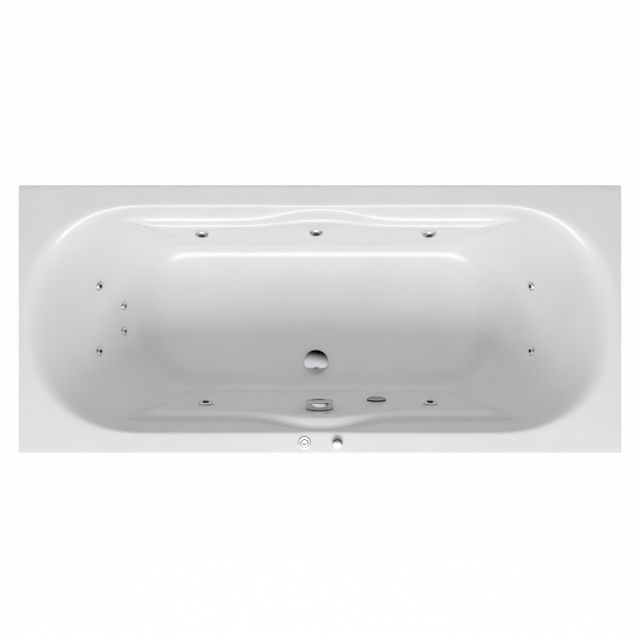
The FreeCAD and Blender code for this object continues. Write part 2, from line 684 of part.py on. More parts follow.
def build_side_jets(side, shell):
    bodies = []
    nuts = []
    for k, (p, n, sy) in enumerate(side, 1):
        out = n * -1
        reach = (p - side_tee(p, n)).Length
        barrel = rod(p, out, SIDE_BARREL_R, 56)
        neck = rod(p, out, 13.0, reach)
        flange = rod(p + n * SIDE_FLANGE_T, out, SIDE_FLANGE_R, SIDE_FLANGE_T + 1.0)
        tee = V(p.x, sy * WATER_Y, WATER_Z)
        sleeve = rod(tee - V(30, 0, 0), V(1, 0, 0), WATER_R + SLEEVE_T, 60)
        neck_end = side_tee(p, n)
        link = rod(neck_end, (tee - neck_end) if (tee - neck_end).Length > 0.1 else V(0, 0, 1), 13.0,
                   max(0.2, (tee - neck_end).Length))
        air_from = p + out * 46
        air_to = V(p.x, sy * WATER_Y, AIR_Z)
        stub = rod(air_from, air_to - air_from, 8.0, (air_to - air_from).Length)
        air_sleeve = rod(air_to - V(18, 0, 0), V(1, 0, 0), AIR_R + 4.0, 36)
        body = join([barrel, neck, flange, sleeve, link, stub, air_sleeve])
        body = body.cut(Part.makeCompound([
            rod(p + n * 10, out, SIDE_BORE_R, 10 + 40),
            rod(tee - V(40, 0, 0), V(1, 0, 0), WATER_R, 80),
            rod(air_to - V(30, 0, 0), V(1, 0, 0), AIR_R, 60)]))
        body = body.cut(rod(p, out, 8.0, reach - 10))
        bodies.append(body)
        nut = rod(p + out * (WALL - 1.5), out, SIDE_BARREL_R + SIDE_NUT_LIP, NUT_T + 1.5).cut(
            rod(p, out, SIDE_BARREL_R, 40))
        nuts.append(nut)

        # turning face ring with the ball seat
        skirt_r = SIDE_BORE_R - FIT
        low = SIDE_FLANGE_T + FACE_GAP
        ring = revolve([(0, -24), (skirt_r, -24), (skirt_r, low), (RING_R, low),
                        (RING_R, low + 1.4), (RING_R - 2.0, low + 3.4), (RING_R - 7.0, RING_TOP),
                        (0, RING_TOP)], p, n)
        seat = Part.makeSphere(BALL_R + BALL_GAP, p + n * BALL_CENTRE)
        ring = ring.cut(seat).cut(rod(p - n * 30, n, 9.0, 30))
        mouth = revolve([(0, 0), (10.9, 0), (10.9, 5.9), (12.6, RING_TOP - BALL_CENTRE),
                         (12.6, 16), (0, 16)], p + n * BALL_CENTRE, n)
        ring = ring.cut(mouth)
        save("jet_ring_%d" % k, ring)
        ball = Part.makeSphere(BALL_R, p + n * BALL_CENTRE)
        snout = revolve([(0, 0), (SNOUT_R, 0), (SNOUT_R, SNOUT_OUT - 0.8), (SNOUT_R - 0.8, SNOUT_OUT),
                         (0, SNOUT_OUT)], p + n * BALL_CENTRE, n)
        ball = ball.fuse(snout).removeSplitter()
        save("jet_nozzle_%d" % k, ball.cut(rod(p - n * 20, n, BALL_BORE_R, 60)))
    skin = Part.makeCompound([shell])
    save("side_jet_bodies", Part.makeCompound(bodies).cut(skin))
    save("jet_nuts", Part.makeCompound(nuts).cut(skin))


def build_end_jets(ends, shell):
    bodies = []
    for k, (p, n, sx) in enumerate(ends, 1):
        out = n * -1
        tee = p + out * END_TEE
        barrel = rod(p, out, END_BARREL_R, END_TEE)
        flange = rod(p + n * END_FLANGE_T, out, END_FLANGE_R, END_FLANGE_T + 1.0)
        nut = rod(p + out * (WALL - 1.0), out, END_FLANGE_R + 1.5, 9.0)
        sleeve = rod(tee - V(0, 22, 0), V(0, 1, 0), END_PIPE_R + 4.0, 44)
        body = join([barrel, flange, nut, sleeve])
        body = body.cut(rod(p + n * 10, out, END_BORE_R, 10 + END_TEE - 8))
        body = body.cut(rod(tee - V(0, 30, 0), V(0, 1, 0), END_PIPE_R, 60))
        bodies.append(body)
        low = END_FLANGE_T + FACE_GAP
        stem_r = END_BORE_R - FIT
        cap = revolve([(0, -14), (stem_r, -14), (stem_r, low), (END_CAP_R, low), (END_CAP_R, low + 1),
                       (END_CAP_R - 1.6, low + 2.4), (7.4, low + 3.6), (6.2, low + 2.6), (0, low + 2.6)],
                      p, n)
        u = V(0, 1, 0)
        hole = rod(p - n * 20 + u, n, END_HOLE_R, 60)
        save("back_nozzle_%d" % k, cap.cut(hole))
    save("back_jet_bodies", Part.makeCompound(bodies).cut(Part.makeCompound([shell])))


def build_manifolds(side, ends, up):
    tees = [p - n * END_TEE for p, n, _ in ends]
    x, y, z = WATER_X, WATER_Y, WATER_Z
    air_end = max(p.x for p, n, _ in side) + AIR_PAST_JET
    gap = 0.5
    loop = [V(x, DISCHARGE_Y + gap, z), V(x, y, z), V(-x, y, z), V(-x, -y, z), V(x, -y, z),
            V(x, DISCHARGE_Y - gap, z)]
    ring = pipe(loop, PIPE_BEND, WATER_R, WATER_R - WATER_T)
    taps = []
    for p, n, sy in side:
        taps.append(rod(V(p.x, sy * (y - 30), z), V(0, sy, 0), 8.0, 30))
    for sx in (-1, 1):
        taps.append(rod(V(sx * (x - 30), 0, z - 30), V(sx, 0, 1), 8.0, 40))
    taps.append(rod(V(x, DISCHARGE_Y, z - 30), up, WATER_R - WATER_T, 30))
    save("water_manifold", ring.cut(Part.makeCompound(taps)))

    run = [V(air_end, y, AIR_Z), V(-x, y, AIR_Z), V(-x, -y, AIR_Z), V(air_end, -y, AIR_Z)]
    air = pipe(run, PIPE_BEND, AIR_R, AIR_R - AIR_T)
    caps = [rod(V(air_end, s * y, AIR_Z), V(1, 0, 0), AIR_R, 4) for s in (-1, 1)]
    save("air_manifold", join([air] + caps))

    for name, sx, pairs in (("left", -1, ((0, 1), (2, 3))), ("right", 1, ((4, 5),))):
        solid = []
        hollow = []
        low = None
        for a, b in pairs:
            start = V(tees[a].x, -abs(tees[a].y) - 26, tees[a].z)
            length = 2 * abs(tees[a].y) + 52
            solid.append(rod(start, V(0, 1, 0), END_PIPE_R, length))
            hollow.append(rod(start + V(0, 4, 0), V(0, 1, 0), END_PIPE_R - 2.5, length - 8))
        feed = V(sx * x, 0, z)
        points = [V(tees[a].x, 0, tees[a].z) for a, b in reversed(pairs)] + [feed]
        for start, end in zip(points[:-1], points[1:]):
            solid.append(rod(start, end - start, RISER_R, (end - start).Length))
            hollow.append(rod(start, end - start, RISER_R - 2.5, (end - start).Length))
        solid.append(rod(feed - V(0, 25, 0), V(0, 1, 0), WATER_R + SLEEVE_T, 50))
        body = join(solid).cut(Part.makeCompound(hollow))
        body = body.cut(rod(feed - V(0, 40, 0), V(0, 1, 0), WATER_R, 80))
        save("back_manifold_" + name, body)


# ---------------------------------------------------------------- waste and overflow
def build_waste(knob_p, knob_n, up):
    x, y = DRAIN_X, DRAIN_Y
    centre = V(x, y, 0)
    bore = DRAIN_BORE_R
    flange = revolve([(bore, FLOOR_Z), (DRAIN_FLANGE_R, FLOOR_Z), (DRAIN_FLANGE_R, FLOOR_Z + 1.2),
                      (DRAIN_FLANGE_R - 2, FLOOR_Z + 2.4), (bore, FLOOR_Z + 2.4)], centre, up)
    low = UNDER_Z - 37
    tail = revolve([(bore, low), (DRAIN_HOLE_R, low), (DRAIN_HOLE_R, FLOOR_Z + 1),
                    (bore, FLOOR_Z + 1)], centre, up)
    hub = rod(V(x, y, low + 8), up, 8.0, 8)
    arms = []
    for k in range(3):
        arm = box(0, bore + 2, -2, 2, low + 8, low + 14)
        arm.rotate(V(0, 0, 0), up, 120 * k + 30)
        arm.translate(centre)
        arms.append(arm)
    flange = join([flange, tail, hub] + arms).cut(rod(V(x, y, low - 10), up, STEM_R + FIT, 60))
    save("drain_flange", flange)

    dome = [(0, FLOOR_Z + 3.2)]
    dome.append((DRAIN_COVER_R - 1.5, FLOOR_Z + 3.2))
    dome.append((DRAIN_COVER_R, FLOOR_Z + 4.4))
    cap_h = 10.5
    sphere_r = (DRAIN_COVER_R ** 2 + cap_h ** 2) / (2 * cap_h)
    for k in range(9):
        r = DRAIN_COVER_R * (1 - k / 8.0)
        drop = sphere_r - math.sqrt(sphere_r ** 2 - r * r)
        dome.append((r, FLOOR_Z + 5.2 + cap_h - drop))
    cover = revolve(dome, centre, up)
    stem = rod(V(x, y, low - 16), up, STEM_R, FLOOR_Z + 6 - (low - 16))
    save("drain_cover", cover.fuse(stem).removeSplitter())
    z = FLOOR_Z - 8
    seal = revolve([(STEM_R, z), (bore - 3, z), (bore - 0.6, z + 2.5), (bore - 3, z + 5),
                    (bore - 5, z + 7), (STEM_R, z + 7)], centre, up)
    save("drain_seal", seal)

    top = UNDER_Z
    bottom = UNDER_Z - TRAP_DEEP
    body = rod(V(x, y, bottom), up, TRAP_R, top - bottom)
    body = body.fuse(rod(V(x, y, WASTE_Z), V(0, 1, 0), WASTE_R, WASTE_REACH))
    collar = rod(V(x, y, WASTE_Z), V(0, 1, 0), WASTE_R + WASTE_COLLAR_LIP,
                 TRAP_R + WASTE_COLLAR_LONG)
    entry = rod(V(x, y, WASTE_Z), V(0, -1, 0), OVERFLOW_R + SLEEVE_T, TRAP_R + 24)
    port = rod(V(x + 25, y - 10, WASTE_Z + 27), V(0, -1, 0), CABLE_R + 2.5, TRAP_R + 2)
    body = join([body, collar, entry, port])
    body = body.cut(Part.makeCompound([
        rod(V(x, y, bottom + 4), up, TRAP_R - 4, 60),
        rod(V(x, y, bottom + 4), up, DRAIN_HOLE_R, top - bottom),
        rod(V(x, y, WASTE_Z), V(0, 1, 0), WASTE_R - 3, WASTE_REACH + 5),
        rod(V(x, y - TRAP_R - 6, WASTE_Z), V(0, -1, 0), OVERFLOW_R, 30),
        rod(V(x, y, WASTE_Z), V(0, -1, 0), OVERFLOW_R - 3, TRAP_R + 22),
        rod(V(x + 25, y - TRAP_R - 4, WASTE_Z + 27), V(0, -1, 0), CABLE_R, 20)]))
    save("drain_body", body)

    # overflow body behind the front wall
    out = knob_n * -1
    barrel = rod(knob_p, out, OVERFLOW_BARREL_R, 34)
    nut = rod(knob_p + out * (WALL + 0.4), out, OVERFLOW_BARREL_R + 6.0, 6)
    z = KNOB_Z
    chamber = rod(V(x, OVERFLOW_Y, z - 27), up, OVERFLOW_R + SLEEVE_T, 45)
    cable_boss = box(x + 10, x + 31, OVERFLOW_Y - 6, OVERFLOW_Y + 6, z - 12, z + 8)
    ports = []
    for k in range(6):
        port = rod(V(11.0, 0, 0), up, 3.4, 20)
        port.rotate(V(0, 0, 0), up, 60 * k)
        port.Placement = FreeCAD.Placement(knob_p, FreeCAD.Rotation(up, out)).multiply(port.Placement)
        ports.append(port)
    body = join([barrel, nut, chamber, cable_boss])
    body = body.cut(Part.makeCompound([
        rod(knob_p + knob_n * 5, out, OVERFLOW_BARREL_R - 4, 10),
        rod(knob_p + out * 11, out, OVERFLOW_R - 4, 26)]))
    body = body.cut(rod(V(x, OVERFLOW_Y, z - 34), up, OVERFLOW_R, 24))
    body = body.cut(rod(V(x, OVERFLOW_Y, z - 14), up, OVERFLOW_R - 3, 26))
    body = body.cut(rod(V(x + 25, OVERFLOW_Y, z - 24), up, CABLE_R, 22))
    body = body.cut(Part.makeCompound(ports))
    save("overflow_body", body.cut(rod(knob_p + knob_n * 10, out, KNOB_STEM_R + FIT, 40)))

    # turning knob: shallow dome with a finger nub, hollow behind for the overflow slot
    base = 2.5
    profile = [(0, base + 10), (KNOB_R - 5, base + 10), (KNOB_R - 5, base), (KNOB_R - 1.5, base),
               (KNOB_R, base + 1.5), (KNOB_R, KNOB_OUT - 7), (KNOB_R - 1.2, KNOB_OUT - 4.4),
               (KNOB_R - 3.6, KNOB_OUT - 2.8), (KNOB_R - 12, KNOB_OUT - 1.4), (18, KNOB_OUT - 0.4),
               (0, KNOB_OUT)]
    knob = revolve(profile, knob_p, knob_n)
    shaft = rod(knob_p + knob_n * (base + 12), out, KNOB_STEM_R, 28)
    low = V(0, 0, -1) - out * V(0, 0, -1).dot(out)
    low.normalize()
    across = knob_n.cross(low)
    aim = (low * 0.96 + across * 0.28).normalize()
    nub = rod(knob_p + knob_n * (base + 3) + aim * (KNOB_R - 4), knob_n, 9.0, KNOB_OUT - base - 9)
    save("overflow_knob", join([knob, shaft, nub]))

    run = [V(x, OVERFLOW_Y, z - 10), V(x, OVERFLOW_Y, WASTE_Z), V(x, y - TRAP_R - 6, WASTE_Z)]
    save("overflow_pipe", pipe(run, 40.0, OVERFLOW_R, OVERFLOW_R - 2))
    cable_z = WASTE_Z + 27
    run = [V(x + 25, OVERFLOW_Y, z - 2), V(x + 25, OVERFLOW_Y, cable_z), V(x + 25, y - TRAP_R - 4, cable_z)]
    save("bowden_cable", pipe(run, 60.0, CABLE_R))


# ---------------------------------------------------------------- suction
def build_suction(p, n):
    out = n * -1
    barrel = rod(p, out, SUCTION_BARREL_R, 50)
    nut = rod(p + out * (WALL + 0.3), out, SUCTION_BARREL_R + 6.0, 7)
    z = SUCTION_Z
    knuckle = V(SUCTION_X, SUCTION_Y, z - 12)
    chamber = rod(V(SUCTION_X, SUCTION_Y, z - 58), V(0, 0, 1), SUCTION_R + 4, 76)
    arm = rod(p + out * 30, knuckle - (p + out * 30), 25.0, (knuckle - p - out * 30).Length)
    body = join([barrel, nut, chamber, arm])
    body = body.cut(Part.makeCompound([
        rod(p + n * 5, out, SUCTION_BARREL_R - 3, 60),
        rod(V(SUCTION_X, SUCTION_Y, z - 70), V(0, 0, 1), SUCTION_R, 34),
        rod(V(SUCTION_X, SUCTION_Y, z - 50), V(0, 0, 1), SUCTION_R - 3, 60)]))
    cross = []
    for k in range(2):
        bar = box(-23.5, 23.5, -1.5, 1.5, 0, 4)
        bar.rotate(V(0, 0, 0), V(0, 0, 1), 90 * k)
        bar.Placement = FreeCAD.Placement(p + out * 4, FreeCAD.Rotation(V(0, 0, 1), n)).multiply(
            bar.Placement)
        cross.append(bar)
    hub = rod(p + out * 12, n, 6.0, 12)
    body = join([body, hub] + cross).cut(rod(p + n * 10, out, 2.5, 18))
    save("suction_body", body)

    r = SUCTION_COVER_R
    cover = revolve([(22.0, 0.2), (24.9, 0.2), (24.9, 4.0), (r - 1.5, 4.0), (r, 5.0), (r, 6.4),
                     (r - 2, 7.8), (r - 8, 9.2), (0, 10.4), (0, 5.0), (22.0, 5.0)], p, n)
    post = rod(p, n, 6.0, 6)
    cover = cover.fuse(post).cut(rod(p - n * 2, n, 2.5, 20))
    slots = []
    for k in range(20):
        slot = box(12.5, 26.0, -1.0, 1.0, 0, 20)
        slot.rotate(V(0, 0, 0), V(0, 0, 1), 18 * k)
        slot.Placement = FreeCAD.Placement(p, FreeCAD.Rotation(V(0, 0, 1), n)).multiply(
            slot.Placement)
        slots.append(slot)
    save("suction_cover", cover.cut(Part.makeCompound(slots)))

    run = [V(SUCTION_X, SUCTION_Y, z - 36), V(SUCTION_X, SUCTION_Y, PUMP_Z), V(PUMP_X, SUCTION_Y, PUMP_Z),
           V(PUMP_X, VOLUTE_Y0 - 6, PUMP_Z)]
    save("suction_pipe", pipe(run, SUCTION_BEND, SUCTION_R, SUCTION_R - 2.5))


# ---------------------------------------------------------------- rim controls
def build_controls(up):
    x, y = BUTTON_X, CONTROL_Y
    centre = V(x, y, 0)
    bore = BUTTON_R + FIT
    low = HEIGHT - 18
    hole = CONTROL_HOLE_R
    bezel = revolve([(bore, low), (hole, low), (hole, HEIGHT), (BEZEL_R, HEIGHT),
                     (BEZEL_R, HEIGHT + 1.6), (BEZEL_R - 1.6, HEIGHT + 3.4), (BEZEL_R - 4, HEIGHT + 3.4),
                     (BEZEL_R - 5.6, HEIGHT + 1.4), (bore + 1.4, HEIGHT + 1.4), (bore, HEIGHT + 2.6)],
                    centre, up)
    can = revolve([(0, low - 32), (hole, low - 32), (hole, low), (hole - 2.5, low),
                   (hole - 2.5, low - 29), (0, low - 29)], centre, up)
    spout = rod(V(x, AIR_HOSE_Y, low - 30), V(0, 0, -1), AIR_HOSE_R, 18)
    save("button_housing", join([bezel, can, spout]))
    cap = revolve([(0, low - 10), (BUTTON_R, low - 10), (BUTTON_R, HEIGHT + 4.2), (BUTTON_R - 1.8, HEIGHT + 5.6),
                   (0, HEIGHT + 5.0)], centre, up)
    save("start_button", cap)
    turn_x = CROSS_X - POST / 2 - 12
    points = [V(x, AIR_HOSE_Y, low - 48), V(x, AIR_HOSE_Y, AIR_HOSE_Z),
              V(turn_x, AIR_HOSE_Y, AIR_HOSE_Z), V(SWITCH_X, SWITCH_Y, AIR_HOSE_Z),
              V(SWITCH_X, SWITCH_Y, PUMP_Z + 74)]
    save("air_tube", pipe(points, 30.0, AIR_HOSE_R))

    x = AIR_X
    centre = V(x, y, 0)
    low = HEIGHT - 60
    bore = AIR_STEM_R + FIT
    body = revolve([(bore, low), (11.0, low), (11.0, low + 46), (hole, low + 46), (hole, HEIGHT),
                    (hole + 1.0, HEIGHT), (hole + 1.0, HEIGHT + 1.6), (bore, HEIGHT + 1.6)], centre, up)
    head = V(x, y, low + 4)
    foot = V(x, -WATER_Y, AIR_Z)
    floor = rod(V(x, y, low - 8), up, 11.0, 8.5)
    stub = rod(head, foot - head, 8.0, (foot - head).Length)
    sleeve = rod(foot - V(18, 0, 0), V(1, 0, 0), AIR_R + 4.0, 36)
    body = join([body, floor, stub, sleeve]).cut(rod(foot - V(30, 0, 0), V(1, 0, 0), AIR_R, 60))
    body = body.cut(rod(V(x, y, low + 1), up, bore, 70))
    save("air_regulator", body)
    stem = low + 15
    low = HEIGHT + 1.6 + FACE_GAP
    knob = revolve([(0, stem), (AIR_STEM_R, stem), (AIR_STEM_R, low), (AIR_KNOB_R - 1, low), (AIR_KNOB_R, low + 1),
                    (AIR_KNOB_R, low + 6), (AIR_KNOB_R - 1.6, low + 8.6), (AIR_KNOB_R - 5, low + 10.6),
                    (6, low + 12.2), (0, low + 12.6)], centre, up)
    save("air_knob", knob.cut(box(x - 1, x + 1, y + 15.2, y + 17, low, low + 8)))


# ---------------------------------------------------------------- pump
def build_pump(up):
    x, z = PUMP_X, PUMP_Z
    ahead = V(0, 1, 0)

    def at(y):
        return V(x, y, z)

    clear = SHAFT_R + FIT
    housing = rod(at(VOLUTE_Y0), ahead, VOLUTE_R, VOLUTE_Y1 - VOLUTE_Y0)
    inlet = rod(at(VOLUTE_Y0 - 34), ahead, SUCTION_R + 5, 36)
    lid = rod(at(VOLUTE_Y0 - 4), ahead, VOLUTE_R + 6, 12)
    neck = rod(V(WATER_X, DISCHARGE_Y, z), up, WATER_R + SLEEVE_T, WATER_Z - z)
    tee = rod(V(WATER_X, DISCHARGE_Y - 36, WATER_Z), ahead, WATER_R + SLEEVE_T, 72)
    body = join([housing, inlet, lid, neck, tee])
    wet = VOLUTE_Y0 + 18
    hollow = [rod(at(wet), ahead, IMPELLER_R + 8, 32),
              rod(at(VOLUTE_Y0 - 40), ahead, SUCTION_R, 34),
              rod(at(VOLUTE_Y0 - 10), ahead, SUCTION_R - 5, 34),
              rod(V(WATER_X, DISCHARGE_Y, z), up, WATER_R - WATER_T, WATER_Z - z),
              rod(V(WATER_X, DISCHARGE_Y - 50, WATER_Z), ahead, WATER_R, 100)]
    body = body.cut(Part.makeCompound(hollow)).cut(rod(at(wet - 3), ahead, clear, 80))
    save("pump_housing", body)
    # motor: finned casing, stator, rotor, fan
    casing = rod(at(VOLUTE_Y1), ahead, MOTOR_R - FIN_H, MOTOR_Y1 - VOLUTE_Y1)
    fins = []
    for k in range(24):
        fin = box(x + MOTOR_R - 8, x + MOTOR_R, VOLUTE_Y1 + 14, MOTOR_Y1 - 8, z - 1, z + 1)
        fin.rotate(V(x, 0, z), V(0, 1, 0), 15 * k + 7.5)
        fins.append(fin)
    foot = box(x - 34, x + 34, VOLUTE_Y1 + 50, MOTOR_Y1 - 50, BOARD_Z + PLATE_T,
               z - MOTOR_R + 12)
    casing = join([casing, foot] + fins)
    casing = casing.cut(rod(at(VOLUTE_Y1 + 8), ahead, STATOR_R, MOTOR_Y1 - VOLUTE_Y1 - 16))
    casing = casing.cut(rod(at(VOLUTE_Y1 - 5), ahead, clear, MOTOR_LONG + 10))
    save("motor_casing", casing)
    start = VOLUTE_Y1 + 35
    stator = rod(at(start), ahead, STATOR_R, MOTOR_LONG - 90)
    stator = stator.cut(rod(at(start - 1), ahead, ROTOR_R + ROTOR_GAP, MOTOR_LONG - 88))
    save("motor_stator", stator)
    rotor = rod(at(wet + 4), ahead, SHAFT_R, FAN_COVER_Y1 - 16 - wet - 4)
    rotor = rotor.fuse(rod(at(start + 5), ahead, ROTOR_R, MOTOR_LONG - 100))
    save("motor_rotor", rotor.removeSplitter())
    disc = wet + 8
    blades = [rod(at(disc), ahead, IMPELLER_R, 4)]
    for k in range(6):
        blade = box(x + 12, x + IMPELLER_R - 2, disc + 3.5, disc + 14, z - 1.5, z + 1.5)
        blade.rotate(V(x, 0, z), V(0, 1, 0), 60 * k)
        blades.append(blade)
    blades.append(rod(at(disc), ahead, 14.0, 16))
    save("impeller", join(blades).cut(rod(at(disc - 6), ahead, SHAFT_R, 30)))
    hub = MOTOR_Y1 + 8
    vanes = [rod(at(hub), ahead, 14.0, 14)]
    for k in range(8):
        vane = box(x + 10, x + MOTOR_R - 14, hub + 1, hub + 13, z - 1, z + 1)
        vane.rotate(V(x, 0, z), V(0, 1, 0), 45 * k)
        vanes.append(vane)
    save("cooling_fan", join(vanes).cut(rod(at(hub - 10), ahead, SHAFT_R, 40)))
    cover = rod(at(MOTOR_Y1), ahead, MOTOR_R, FAN_COVER_Y1 - MOTOR_Y1)
    cover = cover.cut(rod(at(MOTOR_Y1 - 1), ahead, MOTOR_R - 2, FAN_COVER_Y1 - MOTOR_Y1 - 1))
    slots = []
    for ring in range(int((MOTOR_R - 16) / 10)):
        inner, outer = 14.0 + 10 * ring, 20.0 + 10 * ring
        slots.append(rod(at(FAN_COVER_Y1 - 5), ahead, outer, 10).cut(
            rod(at(FAN_COVER_Y1 - 6), ahead, inner, 12)))
    far = MOTOR_R - 5
    webs = [box(x - far, x + far, FAN_COVER_Y1 - 7, FAN_COVER_Y1 + 7, z - 2.5, z + 2.5),
            box(x - 2.5, x + 2.5, FAN_COVER_Y1 - 7, FAN_COVER_Y1 + 7, z - far, z + far)]
    slots = Part.makeCompound(slots).cut(Part.makeCompound(webs))
    save("fan_cover", cover.cut(slots))
    plate = box(x - 75, x + 75, -BOARD_HALF_W, BOARD_HALF_W, BOARD_Z, BOARD_Z + PLATE_T)
    save("pump_plate", plate)

    # terminal box on the outer side, with gland and air switch
    box_x = x + MOTOR_R - 4
    y0 = TERMINAL_BOX_Y
    shape = box(box_x, box_x + TERMINAL_BOX_OUT, y0, y0 + TERMINAL_BOX_LONG, z - 36, z + 40)
    gland_x = box_x + TERMINAL_BOX_OUT - GLAND_R
    gland = rod(V(gland_x, y0, z - 12), V(0, -1, 0), GLAND_R, 16)
    shape = shape.fuse(gland).cut(rod(V(gland_x, y0 + 6, z - 12), V(0, -1, 0), 4.0, 30))
    casing_round = rod(at(VOLUTE_Y1), ahead, MOTOR_R + 0.2, MOTOR_LONG)
    save("terminal_box", shape.cut(casing_round).removeSplitter())
    switch = rod(V(SWITCH_X, SWITCH_Y, z + 40), up, SWITCH_R, 26)
    switch = switch.fuse(rod(V(SWITCH_X, SWITCH_Y, z + 66), up, AIR_HOSE_R, 8))
    save("air_switch", switch.removeSplitter())


main()
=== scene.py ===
import json
import math

import bpy
import numpy as np
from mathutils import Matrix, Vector


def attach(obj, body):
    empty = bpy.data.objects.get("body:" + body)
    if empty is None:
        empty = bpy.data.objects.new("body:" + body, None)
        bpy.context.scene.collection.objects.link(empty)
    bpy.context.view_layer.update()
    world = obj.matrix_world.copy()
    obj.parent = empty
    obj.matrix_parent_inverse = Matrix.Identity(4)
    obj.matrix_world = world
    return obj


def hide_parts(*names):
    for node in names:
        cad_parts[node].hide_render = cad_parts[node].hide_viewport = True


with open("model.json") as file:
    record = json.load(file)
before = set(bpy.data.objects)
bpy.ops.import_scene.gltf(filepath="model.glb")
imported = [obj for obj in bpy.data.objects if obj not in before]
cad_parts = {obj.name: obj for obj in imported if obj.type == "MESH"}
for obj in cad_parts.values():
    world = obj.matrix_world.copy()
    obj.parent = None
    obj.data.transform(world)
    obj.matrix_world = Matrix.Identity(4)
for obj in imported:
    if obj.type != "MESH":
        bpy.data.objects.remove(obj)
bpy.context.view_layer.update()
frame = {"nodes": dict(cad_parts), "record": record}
nodes = frame["nodes"]

# Sizes are in millimetres, as in the part's source; meshes are written in metres.
MM = 0.001

# rim and basin: IN and INSET go inward from the basin's edge and DEEP below the rim; LENS is the swell
# in the middle of the ledge, ROLL rounds the rim's inner edge and FILLET the turn into the floor
LENGTH, WIDTH, HEIGHT = 1800.0, 800.0, 580.0
INNER_DEPTH, WALL = 425.0, 6.0
RIM_DROP, RIM_CORNER_R, RIM_EDGE_R = 35.0, 4.0, 2.0
HALF_L, HALF_B = 842.0, 337.0
STRAIGHT_TOP, FLOOR_SHORTER = 500.0, 105.0
CURVE_POWER = 2.3
SIDE_FLOOR_INSET, END_FLOOR_INSET = 93.0, 255.0
ROLL_SIDE, ROLL_END_RIM, ROLL_END_WALL = 9.0, 50.0, 104.0
FILLET_WALL, FILLET_FLOOR, FILLET_END = 50.0, 95.0, 132.0
LEDGE_FOOT_IN, LEDGE_FOOT_DEEP = 28.0, 58.0
LEDGE_EDGE_IN, LEDGE_EDGE_DEEP = 60.0, 63.0
LEDGE_FOOT_SHARE, LEDGE_WALL_SHARE = 0.58, 0.25
LENS_HALF, LENS_POWER = 147.0, 2.4
LENS_FOOT_OUT, LENS_EDGE_OUT = 20.0, 11.0
LENS_FOOT_UP, LENS_EDGE_UP = 44.0, 43.0
LENS_ROLL_LESS = 4.0
LEDGE_FADE_FROM, LEDGE_FADE_TO = 0.0, 24.0
END_FOOT_DEEPER, END_EDGE_DEEPER = 80.0, 85.0
END_POWER, ROLL_POWER = 1.0, 0.85
FLOOR_Z = HEIGHT - INNER_DEPTH


# ---- materials
class Value:
    """One socket of a node tree; arithmetic on it adds Math nodes."""

    def __init__(self, graph, socket):
        self.graph = graph
        self.socket = socket

    def maths(self, operation, other):
        return self.graph.node("ShaderNodeMath", {0: self, 1: other}, operation=operation)

    def __add__(self, other):
        return self.maths("ADD", other)

    def __mul__(self, other):
        return self.maths("MULTIPLY", other)

    __radd__ = __add__
    __rmul__ = __mul__


class Graph:
    """The node tree of a material or of the world."""

    def __init__(self, owner):
        owner.use_nodes = True
        self.tree = owner.node_tree

    def node(self, kind, sockets=None, out=0, stops=None, **settings):
        """Adds a node: its settings and ramp stops first, then its sockets' values or links."""
        made = self.tree.nodes.new(kind)
        for key, value in settings.items():
            setattr(made, key, value)
        if stops:
            ramp = made.color_ramp
            while len(ramp.elements) < len(stops):
                ramp.elements.new(0.5)
            for element, (position, color) in zip(ramp.elements, stops):
                element.position = position
                element.color = grey(color)
        for key, value in (sockets or {}).items():
            self.link(made.inputs[key], value)
        return Value(self, made.outputs[out])

    def link(self, socket, value):
        if isinstance(value, Value):
            self.tree.links.new(value.socket, socket)
        elif socket.type == "RGBA":
            socket.default_value = grey(value)
        else:
            socket.default_value = value

    def ray(self, kind):
        """1 for rays of a kind, such as Camera or Glossy, and 0 for others."""
        return self.node("ShaderNodeLightPath", out="Is %s Ray" % kind)

    def either(self, factor, first, second):
        """First shader where the factor is 0, second where it is 1."""
        return self.node("ShaderNodeMixShader", {0: factor, 1: first, 2: second})


class Finish(Graph):
    """A procedural material: what varies is built from nodes on Object coordinates."""

    def __init__(self, name, color, roughness, **fixed):
        self.material = bpy.data.materials.new(name)
        super().__init__(self.material)
        self.shader = self.tree.nodes["Principled BSDF"]
        self.feed("Base Color", color)
        self.feed("Roughness", roughness)
        for socket, value in fixed.items():
            self.feed(socket, value)

    def feed(self, name, value):
        self.link(self.shader.inputs[name], value)

    def place(self, stretch=(1, 1, 1), turn=(0, 0, 0)):
        """Object coordinates, turned and stretched, in metres."""
        coordinates = self.node("ShaderNodeTexCoord", out=3)
        if stretch == (1, 1, 1) and turn == (0, 0, 0):
            return coordinates
        return self.node("ShaderNodeMapping", {0: coordinates, 2: turn, 3: stretch})

    def noise(self, scale, detail=2.0, rough=0.5, at=None):
        return self.node("ShaderNodeTexNoise", {"Vector": at or self.place(), "Scale": scale,
                                                "Detail": detail, "Roughness": rough})

    def cells(self, scale, at=None, out=0):
        """Voronoi cells: distance to the middle of a cell, or its own random colour with out=1."""
        return self.node("ShaderNodeTexVoronoi", {"Vector": at or self.place(), "Scale": scale}, out=out)

    def ramp(self, factor, stops):
        return self.node("ShaderNodeValToRGB", {0: factor}, stops=stops)

    def mix(self, factor, first, second):
        return self.node("ShaderNodeMix", {0: factor, 6: first, 7: second}, out=2, data_type="RGBA")

    def bump(self, height, strength, distance):
        """Bump of a height field; distance is in metres."""
        self.feed("Normal", self.node("ShaderNodeBump", {"Strength": strength, "Distance": distance,
                                                         "Height": height}))
        return self


def grey(color):
    """Four colour channels from a single level or from three."""
    if isinstance(color, (int, float)):
        color = (color, color, color)
    return (*color[:3], 1.0)


